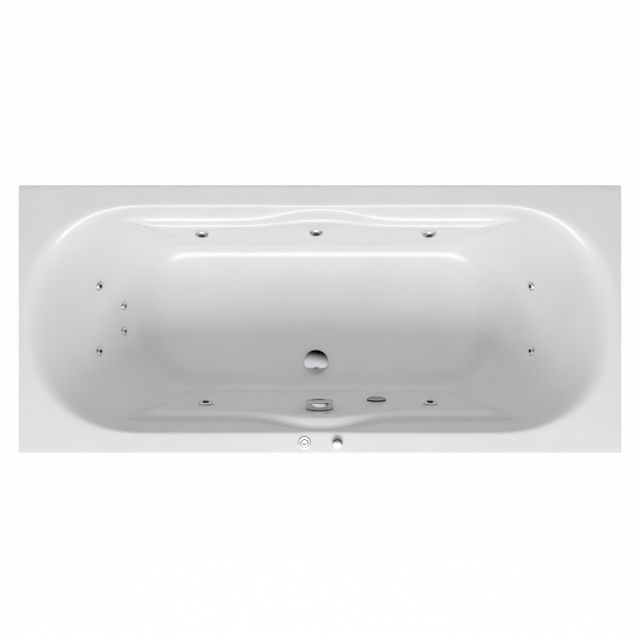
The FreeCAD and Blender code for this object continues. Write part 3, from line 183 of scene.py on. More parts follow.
def acrylic_finish():
    """Sanitary acrylic: even gloss white, faint flow marks and a trace of surface waviness."""
    made = Finish("acrylic_gloss", 0.8, 0.1, IOR=1.49)
    cloud = made.noise(7.0, 3.0)
    made.feed("Base Color", made.ramp(cloud, [(0.3, (0.795, 0.80, 0.80)), (0.7, (0.825, 0.828, 0.826))]))
    made.feed("Roughness", 0.17 + made.noise(160.0, 3.0) * 0.08)
    return made.bump(made.noise(22.0, 1.0) + made.noise(420.0, 2.0) * 0.12, 0.05, 0.004)


def laminate_finish():
    """Glass-fibre laminate: chopped strands lying every way in clear-set resin."""
    made = Finish("glass_laminate", 0.7, 0.5, IOR=1.52)
    strands = None
    for turn in (0.3, 1.4, 2.3, 2.9):
        spread = made.place((140.0, 9.0, 60.0), (turn * 0.4, turn * 0.2, turn))
        one = made.noise(1.0, 2.0, 0.6, spread)
        strands = one if strands is None else strands + one
    strands = strands * 0.25
    tone = made.ramp(strands, [(0.38, (0.54, 0.52, 0.46)), (0.5, (0.70, 0.69, 0.64)),
                               (0.62, (0.84, 0.84, 0.81))])
    made.feed("Base Color", made.mix(made.noise(9.0, 3.0) * 0.5, tone, (0.67, 0.66, 0.61)))
    made.feed("Roughness", made.ramp(made.noise(45.0, 3.0), [(0.35, 0.28), (0.65, 0.62)]))
    return made.bump(strands + made.noise(70.0, 3.0) * 0.35, 0.65, 0.004)


def board_finish():
    """Chipboard: flakes of several browns with a faint resin haze."""
    made = Finish("chipboard", 0.4, 0.75)
    spread = made.place((1.0, 0.45, 1.0), (0.2, 0.1, 0.5))
    flakes = made.cells(230.0, spread, out=1)
    tone = made.ramp(flakes, [(0.1, (0.30, 0.19, 0.10)), (0.45, (0.50, 0.35, 0.20)),
                              (0.9, (0.66, 0.50, 0.32))])
    made.feed("Base Color", made.mix(made.noise(14.0, 4.0) * 0.45, tone, (0.58, 0.50, 0.38)))
    return made.bump(made.cells(230.0, spread), 0.4, 0.001)


def zinc_finish():
    """Zinc-plated steel: pale spangle, each crystal its own shade and gloss."""
    made = Finish("zinc_plate", 0.6, 0.4, Metallic=1.0)
    spangle = made.cells(170.0, out=1)
    made.feed("Base Color", made.ramp(spangle, [(0.0, (0.50, 0.51, 0.53)), (1.0, (0.72, 0.72, 0.70))]))
    made.feed("Roughness", 0.26 + made.noise(240.0, 3.0) * 0.28)
    return made.bump(made.noise(1400.0, 1.0), 0.15, 0.0004)


def plain_finish(name, tones, gloss, grain, cloud=None, metallic=0.0):
    """A skin whose tone drifts in clouds, whose gloss varies and that has a fine grain.

    tones is one colour, or two that the cloud's noise runs between; cloud is that noise's scale and
    detail. gloss is the least roughness, its noise's scale and detail and how much it adds. grain is
    the bump noise's scale and detail, its strength and its height in metres.
    """
    least, gloss_scale, gloss_detail, spread = gloss
    grain_scale, grain_detail, strength, height = grain
    made = Finish(name, tones[0] if cloud else tones, least, Metallic=metallic)
    if cloud:
        made.feed("Base Color", made.ramp(made.noise(*cloud), [(0.3, tones[0]), (0.7, tones[1])]))
    made.feed("Roughness", least + made.noise(gloss_scale, gloss_detail) * spread)
    return made.bump(made.noise(grain_scale, grain_detail), strength, height)


def moulded_finish(name, low, high, rough, grain, strength):
    """Moulded plastic: two close tones, an even sheen and a fine moulded grain."""
    return plain_finish(name, (low, high), (rough, 120.0, 3.0, 0.14), (grain, 2.0, strength, 0.0005),
                        (18.0, 3.0))


def lamination_finish():
    """Stacked steel sheets: fine lines across the motor's length."""
    made = Finish("steel_laminations", 0.2, 0.5, Metallic=1.0)
    made.feed("Base Color", made.ramp(made.noise(30.0, 3.0), [(0.3, (0.16, 0.15, 0.14)),
                                                              (0.7, (0.26, 0.24, 0.22))]))
    stack = made.node("ShaderNodeTexWave", {"Vector": made.place(), "Scale": 320.0, "Distortion": 0.0},
                      out=1, bands_direction="Y")
    return made.bump(stack, 0.6, 0.0005)


finishes = {
    "acrylic": acrylic_finish(),
    "laminate": laminate_finish(),
    "board": board_finish(),
    "zinc_steel": zinc_finish(),
    "lamination": lamination_finish(),
    # powder coat with orange peel, black rubber, and polished chrome with the faintest smears
    "painted_steel": plain_finish("powder_coat", ((0.235, 0.24, 0.255), (0.30, 0.305, 0.32)),
                                  (0.34, 60.0, 3.0, 0.22), (900.0, 2.0, 0.25, 0.0006), (5.0, 4.0)),
    # this black also paints shade: the dark rings under knob, jet flanges and strainer, and the back jets'
    # lined holes
    "rubber_black": plain_finish("black_rubber_and_painted_shade", (0.018, 0.036), (0.6, 300.0, 2.0, 0.25),
                                 (1800.0, 2.0, 0.3, 0.0005), (35.0, 4.0)),
    "chrome": plain_finish("polished_chrome", (0.70, 0.71, 0.73), (0.035, 55.0, 4.0, 0.06),
                           (80.0, 1.0, 0.02, 0.0005), metallic=1.0),
    # brushed chrome that blurs what it reflects, a greyer pickled strainer, and the dark nozzles
    "satin_chrome": plain_finish("satin_chrome", 0.90, (0.28, 320.0, 3.0, 0.1),
                                 (1600.0, 2.0, 0.06, 0.0003), metallic=1.0),
    "strainer_metal": plain_finish("strainer_metal", (0.52, 0.54, 0.54), (0.16, 400.0, 3.0, 0.12),
                                   (900.0, 2.0, 0.08, 0.0003), metallic=1.0),
    "dark_nozzle": plain_finish("dark_nozzle_plastic", (0.022, 0.04), (0.22, 500.0, 2.0, 0.12),
                                (1500.0, 1.0, 0.1, 0.0003), (90.0, 2.0)),
    # die-cast aluminium with a soft pitted skin, and the moulded plastics
    "motor_aluminium": plain_finish("cast_aluminium", ((0.47, 0.48, 0.50), (0.60, 0.61, 0.62)),
                                    (0.38, 210.0, 3.0, 0.2), (650.0, 3.0, 0.5, 0.0008), (25.0, 4.0), 1.0),
    "white_plastic": moulded_finish("white_plastic", 0.74, 0.80, 0.16, 900.0, 0.06),
    "grey_pipe": moulded_finish("grey_pipe", (0.27, 0.28, 0.29), (0.33, 0.34, 0.35), 0.36, 700.0, 0.12),
    "white_pipe": moulded_finish("white_pipe", (0.66, 0.66, 0.65), (0.74, 0.74, 0.73), 0.3, 700.0, 0.1),
    "black_plastic": moulded_finish("black_plastic", 0.018, 0.032, 0.42, 1100.0, 0.4),
}


# ---- meshes
def piece(name, points, faces, body, slots, replaces=(), worn=None, crease=35.0):
    """A piece from points in millimetres and an array of quads.

    A quad whose last two corners are equal is a triangle. slots names the finishes, and worn gives
    each face's index among them. The first is the piece's slot where the record has it.
    """
    faces = np.asarray(faces)
    triangle = faces[:, 2] == faces[:, 3]
    keep = np.ones(faces.shape, bool)
    keep[triangle, 3] = False
    corners = faces[keep]
    starts = np.concatenate(([0], np.cumsum(np.where(triangle, 3, 4))[:-1]))
    mesh = bpy.data.meshes.new(name)
    mesh.vertices.add(len(points))
    mesh.vertices.foreach_set("co", (np.asarray(points, float) * MM).ravel())
    mesh.loops.add(len(corners))
    mesh.loops.foreach_set("vertex_index", corners)
    mesh.polygons.add(len(faces))
    mesh.polygons.foreach_set("loop_start", starts)
    if worn is not None:
        mesh.polygons.foreach_set("material_index", np.asarray(worn, np.int32))
    mesh.polygons.foreach_set("use_smooth", np.ones(len(faces), bool))
    mesh.update(calc_edges=True)
    mesh.set_sharp_from_angle(angle=math.radians(crease))
    made = bpy.data.objects.new(name, mesh)
    bpy.context.scene.collection.objects.link(made)
    for slot in slots:
        mesh.materials.append(finishes[slot].material)
    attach(made, body)
    slots[0] in RECORD_SLOTS
    if replaces:
        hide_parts(*replaces)


RECORD_SLOTS = {row["slot"] for row in frame["record"]["materials"]}


def smooth(share):
    """Smooth step from 0 to 1: three squares less two cubes of the share."""
    share = np.clip(share, 0, 1)
    return share * share * (3 - 2 * share)


def unit(vector):
    """The vector over its length."""
    vector = np.asarray(vector, float)
    return vector / np.linalg.norm(vector)


# ---- basin
# bands of the wall from rim to floor: three control lines make a parabola, two a straight run
BANDS = (((0, 1, 2), 9), ((2, 3), 3), ((3, 4, 5), 6), ((5, 6, 7), 6), ((7, 8), 34), ((8, 9, 10), 12))
QUARTER, RIM_ROWS, FLOOR_ROWS = 130, 8, 12
SIDE_SAMPLES, END_SAMPLES, STRAIGHT_FROM = 400, 1200, 89.999
JET_ZONE_Y, JET_ZONE_DENSER = 150, 0.7
SPINE_HALF, SKIRT_ROW = 350.0, 18.0
CORNER_SHARE, CORNER_SPREAD = 0.52, 4
SEAT_R, SEAT_FADE, SEAT_DEEP = 42.0, 16.0, 20.0
# radii of the holes in the tub, and how far along a hole's axis points belong to it
SIDE_JET_HOLE, END_JET_HOLE, RIM_HOLE = 19.5, 11.0, 14.0
KNOB_HOLE, SUCTION_HOLE, DRAIN_HOLE = 20.0, 25.0, 24.0
HOLE_REACH = 30.0


def control_lines(straight, angle):
    """The eleven control lines of the wall over one quadrant, as an 11 x n x 3 array.

    Every station has a section of four corners, each rounded by a parabola, and the plan is two
    straight sides joined by superellipse ends: x = straight part + reach * cos^(2/power) and
    y = half width * sin^(2/power). The long side's section, which carries the ledge, turns into
    the end's plain one by (cos^2)^END_POWER.
    """
    turn = np.radians(angle)
    cos, sin = np.cos(turn).clip(0), np.sin(turn).clip(0)
    end = (cos * cos) ** END_POWER
    roll = (cos * cos) ** ROLL_POWER
    weight = smooth((LEDGE_FADE_TO - (90 - angle)) / (LEDGE_FADE_TO - LEDGE_FADE_FROM))
    along = np.where(angle > STRAIGHT_FROM, STRAIGHT_TOP * straight, 2 * STRAIGHT_TOP)
    lens = np.exp(-(along / LENS_HALF) ** LENS_POWER) * weight
    side_slope = SIDE_FLOOR_INSET / INNER_DEPTH
    end_slope = END_FLOOR_INSET / INNER_DEPTH
    foot_deep = LEDGE_FOOT_DEEP + END_FOOT_DEEPER * end - LENS_FOOT_UP * lens
    edge_deep = LEDGE_EDGE_DEEP + END_EDGE_DEEPER * end - LENS_EDGE_UP * lens
    foot = side_slope * foot_deep * (1 - weight) + (LEDGE_FOOT_IN - LENS_FOOT_OUT * lens) * weight
    edge = side_slope * edge_deep * (1 - weight) + (LEDGE_EDGE_IN - LENS_EDGE_OUT * lens) * weight
    rim_reach = ROLL_SIDE + (ROLL_END_RIM - ROLL_SIDE) * roll
    wall_reach = ROLL_SIDE + (ROLL_END_WALL - ROLL_SIDE) * roll - LENS_ROLL_LESS * lens
    low_reach = FILLET_WALL + (FILLET_END - FILLET_WALL) * end
    floor_reach = FILLET_FLOOR + (FILLET_END - FILLET_FLOOR) * end
    zero = np.zeros_like(end)

    def section(foot_in, edge_in, floor_in):
        knots = [np.stack(pair) for pair in ((zero, zero), (foot_in, foot_deep), (edge_in, edge_deep),
                                             (zero + floor_in, zero + INNER_DEPTH))]
        step = np.hypot(*(knots[2] - knots[1]))
        drop = np.hypot(*knots[1])

        def toward(start, other, reach):
            line = knots[other] - knots[start]
            return knots[start] + line * reach / np.hypot(*line)
        return np.stack([
            np.stack((-rim_reach, zero)), knots[0], toward(0, 1, wall_reach),
            toward(1, 0, LEDGE_WALL_SHARE * drop), knots[1], toward(1, 2, LEDGE_FOOT_SHARE * step),
            knots[2], toward(2, 3, (1 - LEDGE_FOOT_SHARE) * step), toward(3, 2, low_reach), knots[3],
            np.stack((floor_in + floor_reach, zero + INNER_DEPTH))])

    side = section(foot, edge, SIDE_FLOOR_INSET)
    ends = section(end_slope * foot_deep, end_slope * edge_deep, END_FLOOR_INSET)
    deep = side[:, 1] * (1 - end) + ends[:, 1] * end
    half = STRAIGHT_TOP - FLOOR_SHORTER * deep / INNER_DEPTH
    x = half * straight + (HALF_L - ends[:, 0] - half) * cos ** (2 / CURVE_POWER)
    y = (HALF_B - side[:, 0]) * sin ** (2 / CURVE_POWER)
    return np.stack((x, y, HEIGHT - deep), axis=-1)


def quarter_stations():
    """Stations over a quadrant: even along the ledge line, closer where the end jets sit."""
    straight = np.concatenate((np.linspace(0, 1, SIDE_SAMPLES), np.ones(END_SAMPLES)))
    angle = np.concatenate((np.full(SIDE_SAMPLES, 90.0), np.linspace(90, 0, END_SAMPLES + 1)[1:]))
    line = control_lines(straight, angle)[4]
    density = 1 + JET_ZONE_DENSER * (np.abs(line[:, 1]) < JET_ZONE_Y)
    length = np.concatenate(([0], np.cumsum(np.hypot(*np.diff(line[:, :2], axis=0).T) * density[1:])))
    wanted = np.linspace(0, length[-1], QUARTER + 1)
    count = np.arange(len(length))
    share = np.interp(wanted, length, count)
    return np.interp(share, count, straight), np.interp(share, count, angle)


def wall_rows(straight, angle):
    """Points of the wall from rim to floor: each band is a parabola or a line between its rows."""
    lines = control_lines(straight, angle)
    rows = []
    for band, count in BANDS:
        share = (np.arange(count) / count)[:, None, None]
        if len(band) == 3:
            a, b, c = (lines[k] for k in band)
            rows.append(a * (1 - share) ** 2 + b * 2 * share * (1 - share) + c * share ** 2)
        else:
            rows.append(lines[band[0]] * (1 - share) + lines[band[1]] * share)
    return np.concatenate(rows + [lines[10][None]])


def border(along, inset):
    """Points on the rim's outline at an inset; along runs 0-1 on the side, 1-2 round the corner,
    2-3 down the end."""
    corner_x, corner_y = LENGTH / 2 - RIM_CORNER_R, WIDTH / 2 - RIM_CORNER_R
    turn = np.radians(90) * (2 - np.clip(along, 1, 2))
    radius = max(RIM_CORNER_R - inset, 0.5)
    back = RIM_CORNER_R - inset - radius
    x = (corner_x + back) * np.clip(along, 0, 1) + radius * np.cos(turn)
    y = (corner_y + back) * np.clip(3 - along, 0, 1) + radius * np.sin(turn)
    return np.stack((x, y), axis=-1)


def shell_grid():
    """Front and back points of the tub, rows from the skirt's edge to the middle of the floor."""
    straight, angle = quarter_stations()
    wall = wall_rows(straight, angle)
    bend = int(np.argmax(angle < STRAIGHT_FROM)) - 1
    index = np.arange(QUARTER + 1.0)
    # place of each station on the rim's outline: by its x on the side, then spread over corner and end
    corner = bend + CORNER_SHARE * (QUARTER - bend)
    reached = wall[0, :, 0] / (LENGTH / 2 - RIM_CORNER_R)
    past = np.interp(index, [bend, corner - CORNER_SPREAD, corner + CORNER_SPREAD, QUARTER],
                     [reached[bend], 1, 2, 3])
    along = np.where(index <= bend, reached, past)

    def level_row(inset, z):
        return np.concatenate((border(along, inset), np.full((len(along), 1), z)), axis=1)

    front = [level_row(0, HEIGHT - RIM_DROP), level_row(0, HEIGHT - SKIRT_ROW)]
    front += [level_row(RIM_EDGE_R * (1 - math.cos(a)), HEIGHT - RIM_EDGE_R * (1 - math.sin(a)))
              for a in np.radians([0, 30, 60, 90])]
    under = HEIGHT - WALL
    back = [level_row(WALL, z) for z in (HEIGHT - RIM_DROP, HEIGHT - SKIRT_ROW, under - 5, under - 3,
                                         under - 1.5, under)]
    for rows, inset, z in ((front, RIM_EDGE_R, HEIGHT), (back, WALL, under)):
        outer = level_row(inset, z)
        inner = wall[0].copy()
        inner[:, 2] = z
        rows += [outer * (1 - s) + inner * s for s in np.arange(1, RIM_ROWS) / RIM_ROWS]
    spine = wall[-1].copy()
    spine[:, 0] *= SPINE_HALF / spine[-1, 0]
    spine[:, 1] = 0
    floor = [wall[-1] * (1 - s) + spine * s for s in np.arange(1, FLOOR_ROWS + 1) / FLOOR_ROWS]
    bowl = np.concatenate((wall, np.stack(floor)))
    # back of the bowl: each point moved by the wall's thickness against the surface normal
    padded = np.concatenate((bowl[:, 1:2] * (-1, 1, 1), bowl, bowl[:, -2:-1] * (1, -1, 1)), axis=1)
    across = padded[:, 2:] - padded[:, :-2]
    down = np.gradient(bowl, axis=0)
    normal = np.cross(across, down)
    normal[len(wall):] = (0, 0, -1)
    normal[0] = (0, 0, -1)
    normal /= np.linalg.norm(normal, axis=2, keepdims=True)
    behind = bowl + normal * WALL
    front = mirrored(np.concatenate((np.stack(front), bowl)))
    # flat seat for the waste, which fades into the floor's slope
    away = np.linalg.norm(front[..., :2] - DRAIN_AT[:2], axis=-1) - SEAT_R
    high = front[..., 2] - FLOOR_Z
    seat = (high < SEAT_DEEP) & (away < SEAT_FADE)
    front[..., 2] = FLOOR_Z + high * np.where(seat, smooth(away / SEAT_FADE), 1)
    return front, mirrored(np.concatenate((np.stack(back), behind)))


def mirrored(quadrant):
    """The whole loop of stations from one quadrant, clockwise from the middle of the back."""
    right = np.concatenate((quadrant, quadrant[:, -2::-1] * (1, -1, 1)), axis=1)
    return np.concatenate((right, right[:, -2:0:-1] * (-1, 1, 1)), axis=1)


def spot(at, a, step, depth, inward):
    """A wall's point at (a, depth), and its normal, square to both parameters' steps, turned
    inward."""
    normal = unit(np.cross(at(a + step, depth) - at(a - step, depth), at(a, depth + 1) - at(a, depth - 1)))
    return at(a, depth), normal * math.copysign(1, normal @ inward)


def side_spot(x, depth, side):
    """Point and inward normal on a long wall below the ledge."""
    def at(px, deep):
        share = min(1.0, abs(px) / (STRAIGHT_TOP - FLOOR_SHORTER * deep / INNER_DEPTH))
        lens = math.exp(-(STRAIGHT_TOP * share / LENS_HALF) ** LENS_POWER)
        edge = LEDGE_EDGE_IN - LENS_EDGE_OUT * lens
        top = LEDGE_EDGE_DEEP - LENS_EDGE_UP * lens
        part = (deep - top) / (INNER_DEPTH - top)
        return np.array((px, side * (HALF_B - edge - (SIDE_FLOOR_INSET - edge) * part), HEIGHT - deep))
    return spot(at, x, 1, depth, (0, -side, 0))


def end_spot(y, depth, end):
    """Point and inward normal on an end wall, where the plan curve passes the given y."""
    def at(turn, deep):
        part = deep / INNER_DEPTH
        half = STRAIGHT_TOP - FLOOR_SHORTER * part
        reach = HALF_L - END_FLOOR_INSET * part - half
        power = 2 / CURVE_POWER
        return np.array((end * (half + reach * math.cos(turn) ** power),
                         math.copysign((HALF_B - SIDE_FLOOR_INSET * part) * math.sin(turn) ** power, y),
                         HEIGHT - deep))
    width = HALF_B - SIDE_FLOOR_INSET * depth / INNER_DEPTH
    return spot(at, math.asin((abs(y) / width) ** (CURVE_POWER / 2)), 0.004, depth, (-end, 0, 0))


UP = np.array((0.0, 0.0, 1.0))
CONTROL_Y, AIR_HOSE_Y = -369.0, -376.0
BUTTON_AT = np.array((-46.0, CONTROL_Y, HEIGHT))
AIR_AT = np.array((52.0, CONTROL_Y, HEIGHT))
DRAIN_AT = np.array((-5.0, -148.0, FLOOR_Z))
SIDE_JETS = [side_spot(x, 150.0, side) for x, side in ((-367, 1), (-9, 1), (345, 1), (-355, -1),
                                                       (348, -1))]
END_JETS = [end_spot(y, depth, end) for y, depth, end in
            ((105, 216, -1), (-105, 216, -1), (42, 330, -1), (-42, 330, -1), (105, 241, 1),
             (-105, 241, 1))]
KNOB_AT, KNOB_AXIS = side_spot(1.0, 116.0, -1)
SUCTION_AT, SUCTION_AXIS = side_spot(186.0, 230.0, -1)


def open_holes(front, back, gone, centre, axis, radius):
    """Opens a round hole: faces inside it go, and points inside it move out to its edge."""
    for grid in (front, back):
        offset = grid - centre
        high = offset @ axis
        radial = offset - high[..., None] * axis
        far = np.linalg.norm(radial, axis=2)
        near = (far < radius) & (np.abs(high) < HOLE_REACH)
        if grid is front:
            faces = near[:-1] & near[1:]
            gone |= faces & np.roll(faces, -1, axis=1)
        push = np.where(near, radius / np.maximum(far, 1e-6) - 1, 0)
        grid += radial * push[..., None]


def build_shell():
    """The tub: a bathing side in acrylic and a laminated back, with holes for every fitting."""
    front, back = shell_grid()
    rows, around = front.shape[:2]
    gone = np.zeros((rows - 1, around), bool)
    holes = [(*jet, SIDE_JET_HOLE) for jet in SIDE_JETS] + [(*jet, END_JET_HOLE) for jet in END_JETS]
    holes += [(KNOB_AT, KNOB_AXIS, KNOB_HOLE), (SUCTION_AT, SUCTION_AXIS, SUCTION_HOLE),
              (DRAIN_AT, UP, DRAIN_HOLE), (BUTTON_AT, UP, RIM_HOLE), (AIR_AT, UP, RIM_HOLE)]
    for hole in holes:
        open_holes(front, back, gone, *hole)

    # the floor's middle line is met from both sides, which share its points
    number = np.arange(rows * around).reshape(rows, around)
    column = np.arange(around)
    number[-1] = number[-1, np.minimum(column, (around // 2 - column) % around)]
    after = np.roll(number, -1, axis=1)
    quads = np.stack((number[:-1], number[1:], after[1:], after[:-1]), axis=-1)
    offset = rows * around
    parts = [quads[~gone], quads[~gone][:, ::-1] + offset,
             np.stack((after[0], after[0] + offset, number[0] + offset, number[0]), axis=-1)]
    # walls of the holes: each edge between a face that went and one that stayed
    stays = ~gone
    sides = ((np.concatenate((np.ones((1, around), bool), stays[:-1])), (3, 0)),
             (np.concatenate((stays[1:], np.ones((1, around), bool))), (1, 2)),
             (np.roll(stays, 1, axis=1), (0, 1)), (np.roll(stays, -1, axis=1), (2, 3)))
    for neighbour, (a, b) in sides:
        edge = quads[gone & neighbour]
        parts.append(np.stack((edge[:, a], edge[:, b], edge[:, b] + offset, edge[:, a] + offset), axis=-1))
    # bathing side and rim edge wear the acrylic, the back and the walls of the holes the laminate
    worn = np.concatenate([np.full(len(part), k not in (0, 2)) for k, part in enumerate(parts)])
    points = np.concatenate((front.reshape(-1, 3), back.reshape(-1, 3)))
    faces = np.concatenate(parts)
    used = np.unique(faces)
    lookup = np.zeros(len(points), np.int64)
    lookup[used] = np.arange(len(used))
    piece("bathing_shell", points[used], lookup[faces], "tub", ("acrylic", "laminate"),
          ("tub_shell",), worn, crease=40.0)


build_shell()


# ---- small shapes
def square_to(axis):
    """Two directions square to an axis and to each other."""
    axis = unit(axis)
    first = unit(np.cross((0, 0, 1) if abs(axis[2]) < 0.9 else (1, 0, 0), axis))
    return first, np.cross(axis, first)


def loft(rings):
    """Quads through closed rings of points, rows x around x 3."""
    rows, around = rings.shape[:2]
    number = np.arange(rows * around).reshape(rows, around)
    after = np.roll(number, -1, axis=1)
    quads = np.stack((number[:-1], after[:-1], after[1:], number[1:]), axis=-1)
    return rings.reshape(-1, 3), quads.reshape(-1, 4)


def around_way(turn, u, v):
    """Directions round a circle: cos of the turn along u plus its sine along v."""
    return np.cos(turn)[:, None] * u + np.sin(turn)[:, None] * v


def tipped(points, faces, around, tips):
    """A loft whose first and last rings are closed by fans to their tips; None leaves one open."""
    here = np.arange(around)
    there = np.roll(here, -1)
    last = len(points) - around
    for tip_at, edge in ((tips[0], (there, here)), (tips[1], (last + here, last + there))):
        if tip_at is not None:
            tip = np.full(around, len(points))
            points = np.concatenate((points, [tip_at]))
            faces = np.concatenate((faces, np.stack((*edge, tip, tip), axis=-1)))
    return points, faces


def lathe(profile, centre, axis, around=48, swell=None):
    """Surface of revolution; profile is (radius, height) from below, and 0 closes an end.

    swell(turn, height) gives an added radius, for threads, ribs and knurls.
    """
    profile, centre, axis = np.asarray(profile, float), np.asarray(centre), unit(axis)
    turn = (np.arange(around) + 0.5) * 2 * np.pi / around
    rows = profile[profile[:, 0] > 0]
    radius = np.repeat(rows[:, :1], around, axis=1)
    if swell:
        radius = radius + swell(turn[None], rows[:, 1:])
    rings = (centre + radius[..., None] * around_way(turn, *square_to(axis))
             + rows[:, 1][:, None, None] * axis)
    tips = [None if r else centre + axis * h for r, h in profile[[0, -1]]]
    return tipped(*loft(rings), around, tips)


def welded(line, radius, around=8):
    """Round tube along a line of points; radius may differ from point to point."""
    line = np.asarray(line, float)
    ahead = np.gradient(line, axis=0)
    ahead /= np.linalg.norm(ahead, axis=1, keepdims=True)
    side = np.empty_like(line)
    last = square_to(ahead[0])[0]
    for k, direction in enumerate(ahead):
        last = unit(last - direction * (last @ direction))
        side[k] = last
    turn = np.arange(around) * 2 * np.pi / around
    radius = np.broadcast_to(radius, len(line))[:, None, None]
    rings = line[:, None] + radius * around_way(turn, side[:, None], np.cross(ahead, side)[:, None])
    return tipped(*loft(rings), around, (line[0], line[-1]))


def block(centre, size, bevel=0.6, axis=(0, 0, 1), along=None):
    """Box with softened edges: size along, across and up the axis."""
    w = unit(axis)
    u = unit(along) if along is not None else square_to(w)[0]
    v = np.cross(w, u)
    x, y, z = np.asarray(size, float) / 2
    rings = []
    for inset, height in ((bevel, -z), (0, bevel - z), (0, z - bevel), (bevel, z)):
        a, b = x - inset, y - inset
        c = bevel * 0.7 if not inset else 0.01
        outline = ((a, c - b), (a, b - c), (a - c, b), (c - a, b), (-a, b - c), (-a, c - b), (c - a, -b),
                   (a - c, -b))
        rings.append([u * p + v * q + w * height for p, q in outline])
    points, faces = loft(np.asarray(centre) + np.asarray(rings))
    caps = ((0, 7, 6, 5), (0, 5, 4, 1), (1, 4, 3, 2), (24, 25, 26, 27), (24, 27, 28, 31),
            (31, 28, 29, 30))
    return points, np.concatenate((faces, caps))


def hex_head(at, axis, flats, height):
    """Hexagon head with chamfered corners, and its washer."""
    radius = flats / math.sqrt(3)
    head = lathe(((radius, 0), (radius, height * 0.8), (radius * 0.86, height), (0, height)), at, axis, 6)
    washer = ((radius * 1.35, -0.2), (radius * 1.35, 0.9), (radius * 1.25, 1.1), (radius * 0.6, 1.1))
    return head, lathe(washer, at, axis, 24)


def screw_head(at, axis, radius):
    """Low domed screw head with a round recess."""
    dome = ((1, 0.25), (0.8, 0.5), (0.38, 0.6), (0.3, 0.2), (0, 0.15))
    return lathe([(radius, -0.2)] + [(radius * r, radius * h) for r, h in dome], at, axis, 16)


class Kit:
    """Shapes gathered into one piece; each shape wears one of the piece's slots."""

    def __init__(self):
        self.points, self.faces, self.worn = [], [], []
        self.count = 0

    def add(self, *shapes, slot=0):
        for points, faces in shapes:
            self.points.append(points)
            self.faces.append(np.asarray(faces) + self.count)
            self.worn.append(np.full(len(faces), slot))
            self.count += len(points)
        return self

    def build(self, name, body, slots, replaces=(), crease=35):
        piece(name, np.concatenate(self.points), np.concatenate(self.faces), body, slots, replaces,
              np.concatenate(self.worn), crease)


# ---- feet
RAIL_Y, RAIL_Z, CROSS_X, INNER_CROSS_X = 215, 108, 865, 430
BOARD_Z, TUBE, POST_Y, FOOT_Y, MID_FOOT_X = 133, 25, 365, 300, 150
FOOT_SPOTS = ((-CROSS_X, -FOOT_Y), (MID_FOOT_X, -RAIL_Y), (CROSS_X, -FOOT_Y),
              (-CROSS_X, FOOT_Y), (MID_FOOT_X, RAIL_Y), (CROSS_X, FOOT_Y))
PITCH, THREAD_DEEP = 1.75, 0.55
FOOT_FLATS, ROD_R, ROD_TOP = 19, 6, RAIL_Z + 22


def thread(turn, height):
    """Triangular thread cut inward: depth follows height / pitch less the turn."""
    phase = (height / PITCH - turn / (2 * np.pi)) % 1
    return -THREAD_DEEP * np.abs(2 * phase - 1)


def build_feet():
    """Levelling feet: a rubber-soled pad, a threaded rod and the hexagon that turns it."""
    for number, (x, y) in enumerate(FOOT_SPOTS, 1):
        at = (x, y, 0)
        sole = ((0, 0), (24.2, 0), (25, 0.8), (25, 4.4), (24.4, 5))
        pad = ((24.4, 5), (23, 5.6), (15.5, 14.4), (14, 16), (8.5, 16), (7.5, 15.2), (7.5, 14))
        corner = FOOT_FLATS / math.sqrt(3)
        hexagon = ((corner * 0.88, 16), (corner, 17), (corner, 23), (corner * 0.88, 24), (6.2, 24))
        heights = np.arange(24, ROD_TOP - 1, PITCH / 5)
        rod = np.stack((np.full(len(heights), ROD_R), heights), axis=-1)
        tip = ((5.45, ROD_TOP - 1.4), (4.6, ROD_TOP), (0, ROD_TOP))
        kit = Kit().add(lathe(sole, at, UP, 64), slot=1)
        kit.add(lathe(pad, at, UP, 64), lathe(hexagon, at, UP, 6), lathe(rod, at, UP, 20, thread),
                lathe(tip, at, UP, 20))
        foot = "foot_%d" % number
        kit.build("levelling_" + foot, foot, ("zinc_steel", "rubber_black"), (foot,), crease=30)


build_feet()


# ---- steelwork
WELD_SUNK, POST_SEAM, PLUG_Y, NUT_FLATS = 0.4, 10, 376, 24
POST_BOLT_Z = (BOARD_Z + 300, BOARD_Z + 400)
BOARD_BOLT_X = (-500, -250, 0, 250, 500)


def bead(corners, radius=2):
    """Weld bead along straight runs: its size swells with every ripple of the weld."""
    corners = np.asarray(corners, float)
    runs = []
    for first, last in zip(corners[:-1], corners[1:]):
        count = max(3, int(np.linalg.norm(last - first) / 0.8))
        runs.append(first + (last - first) * np.linspace(0, 1, count, endpoint=False)[:, None])
    line = np.concatenate(runs + [corners[-1:]])
    ripple = radius * (1 + 0.16 * np.abs(np.sin(np.arange(len(line)) * 1.1)))
    return welded(line, ripple, 8)


SQUARE = ((1, 1), (-1, 1), (-1, -1), (1, -1), (1, 1))


def square_loop(centre, axis, half):
    """Corners of a square round a tube, starting and ending at one corner."""
    u, v = square_to(axis)
    return [np.asarray(centre) + (u * a + v * b) * half for a, b in SQUARE]


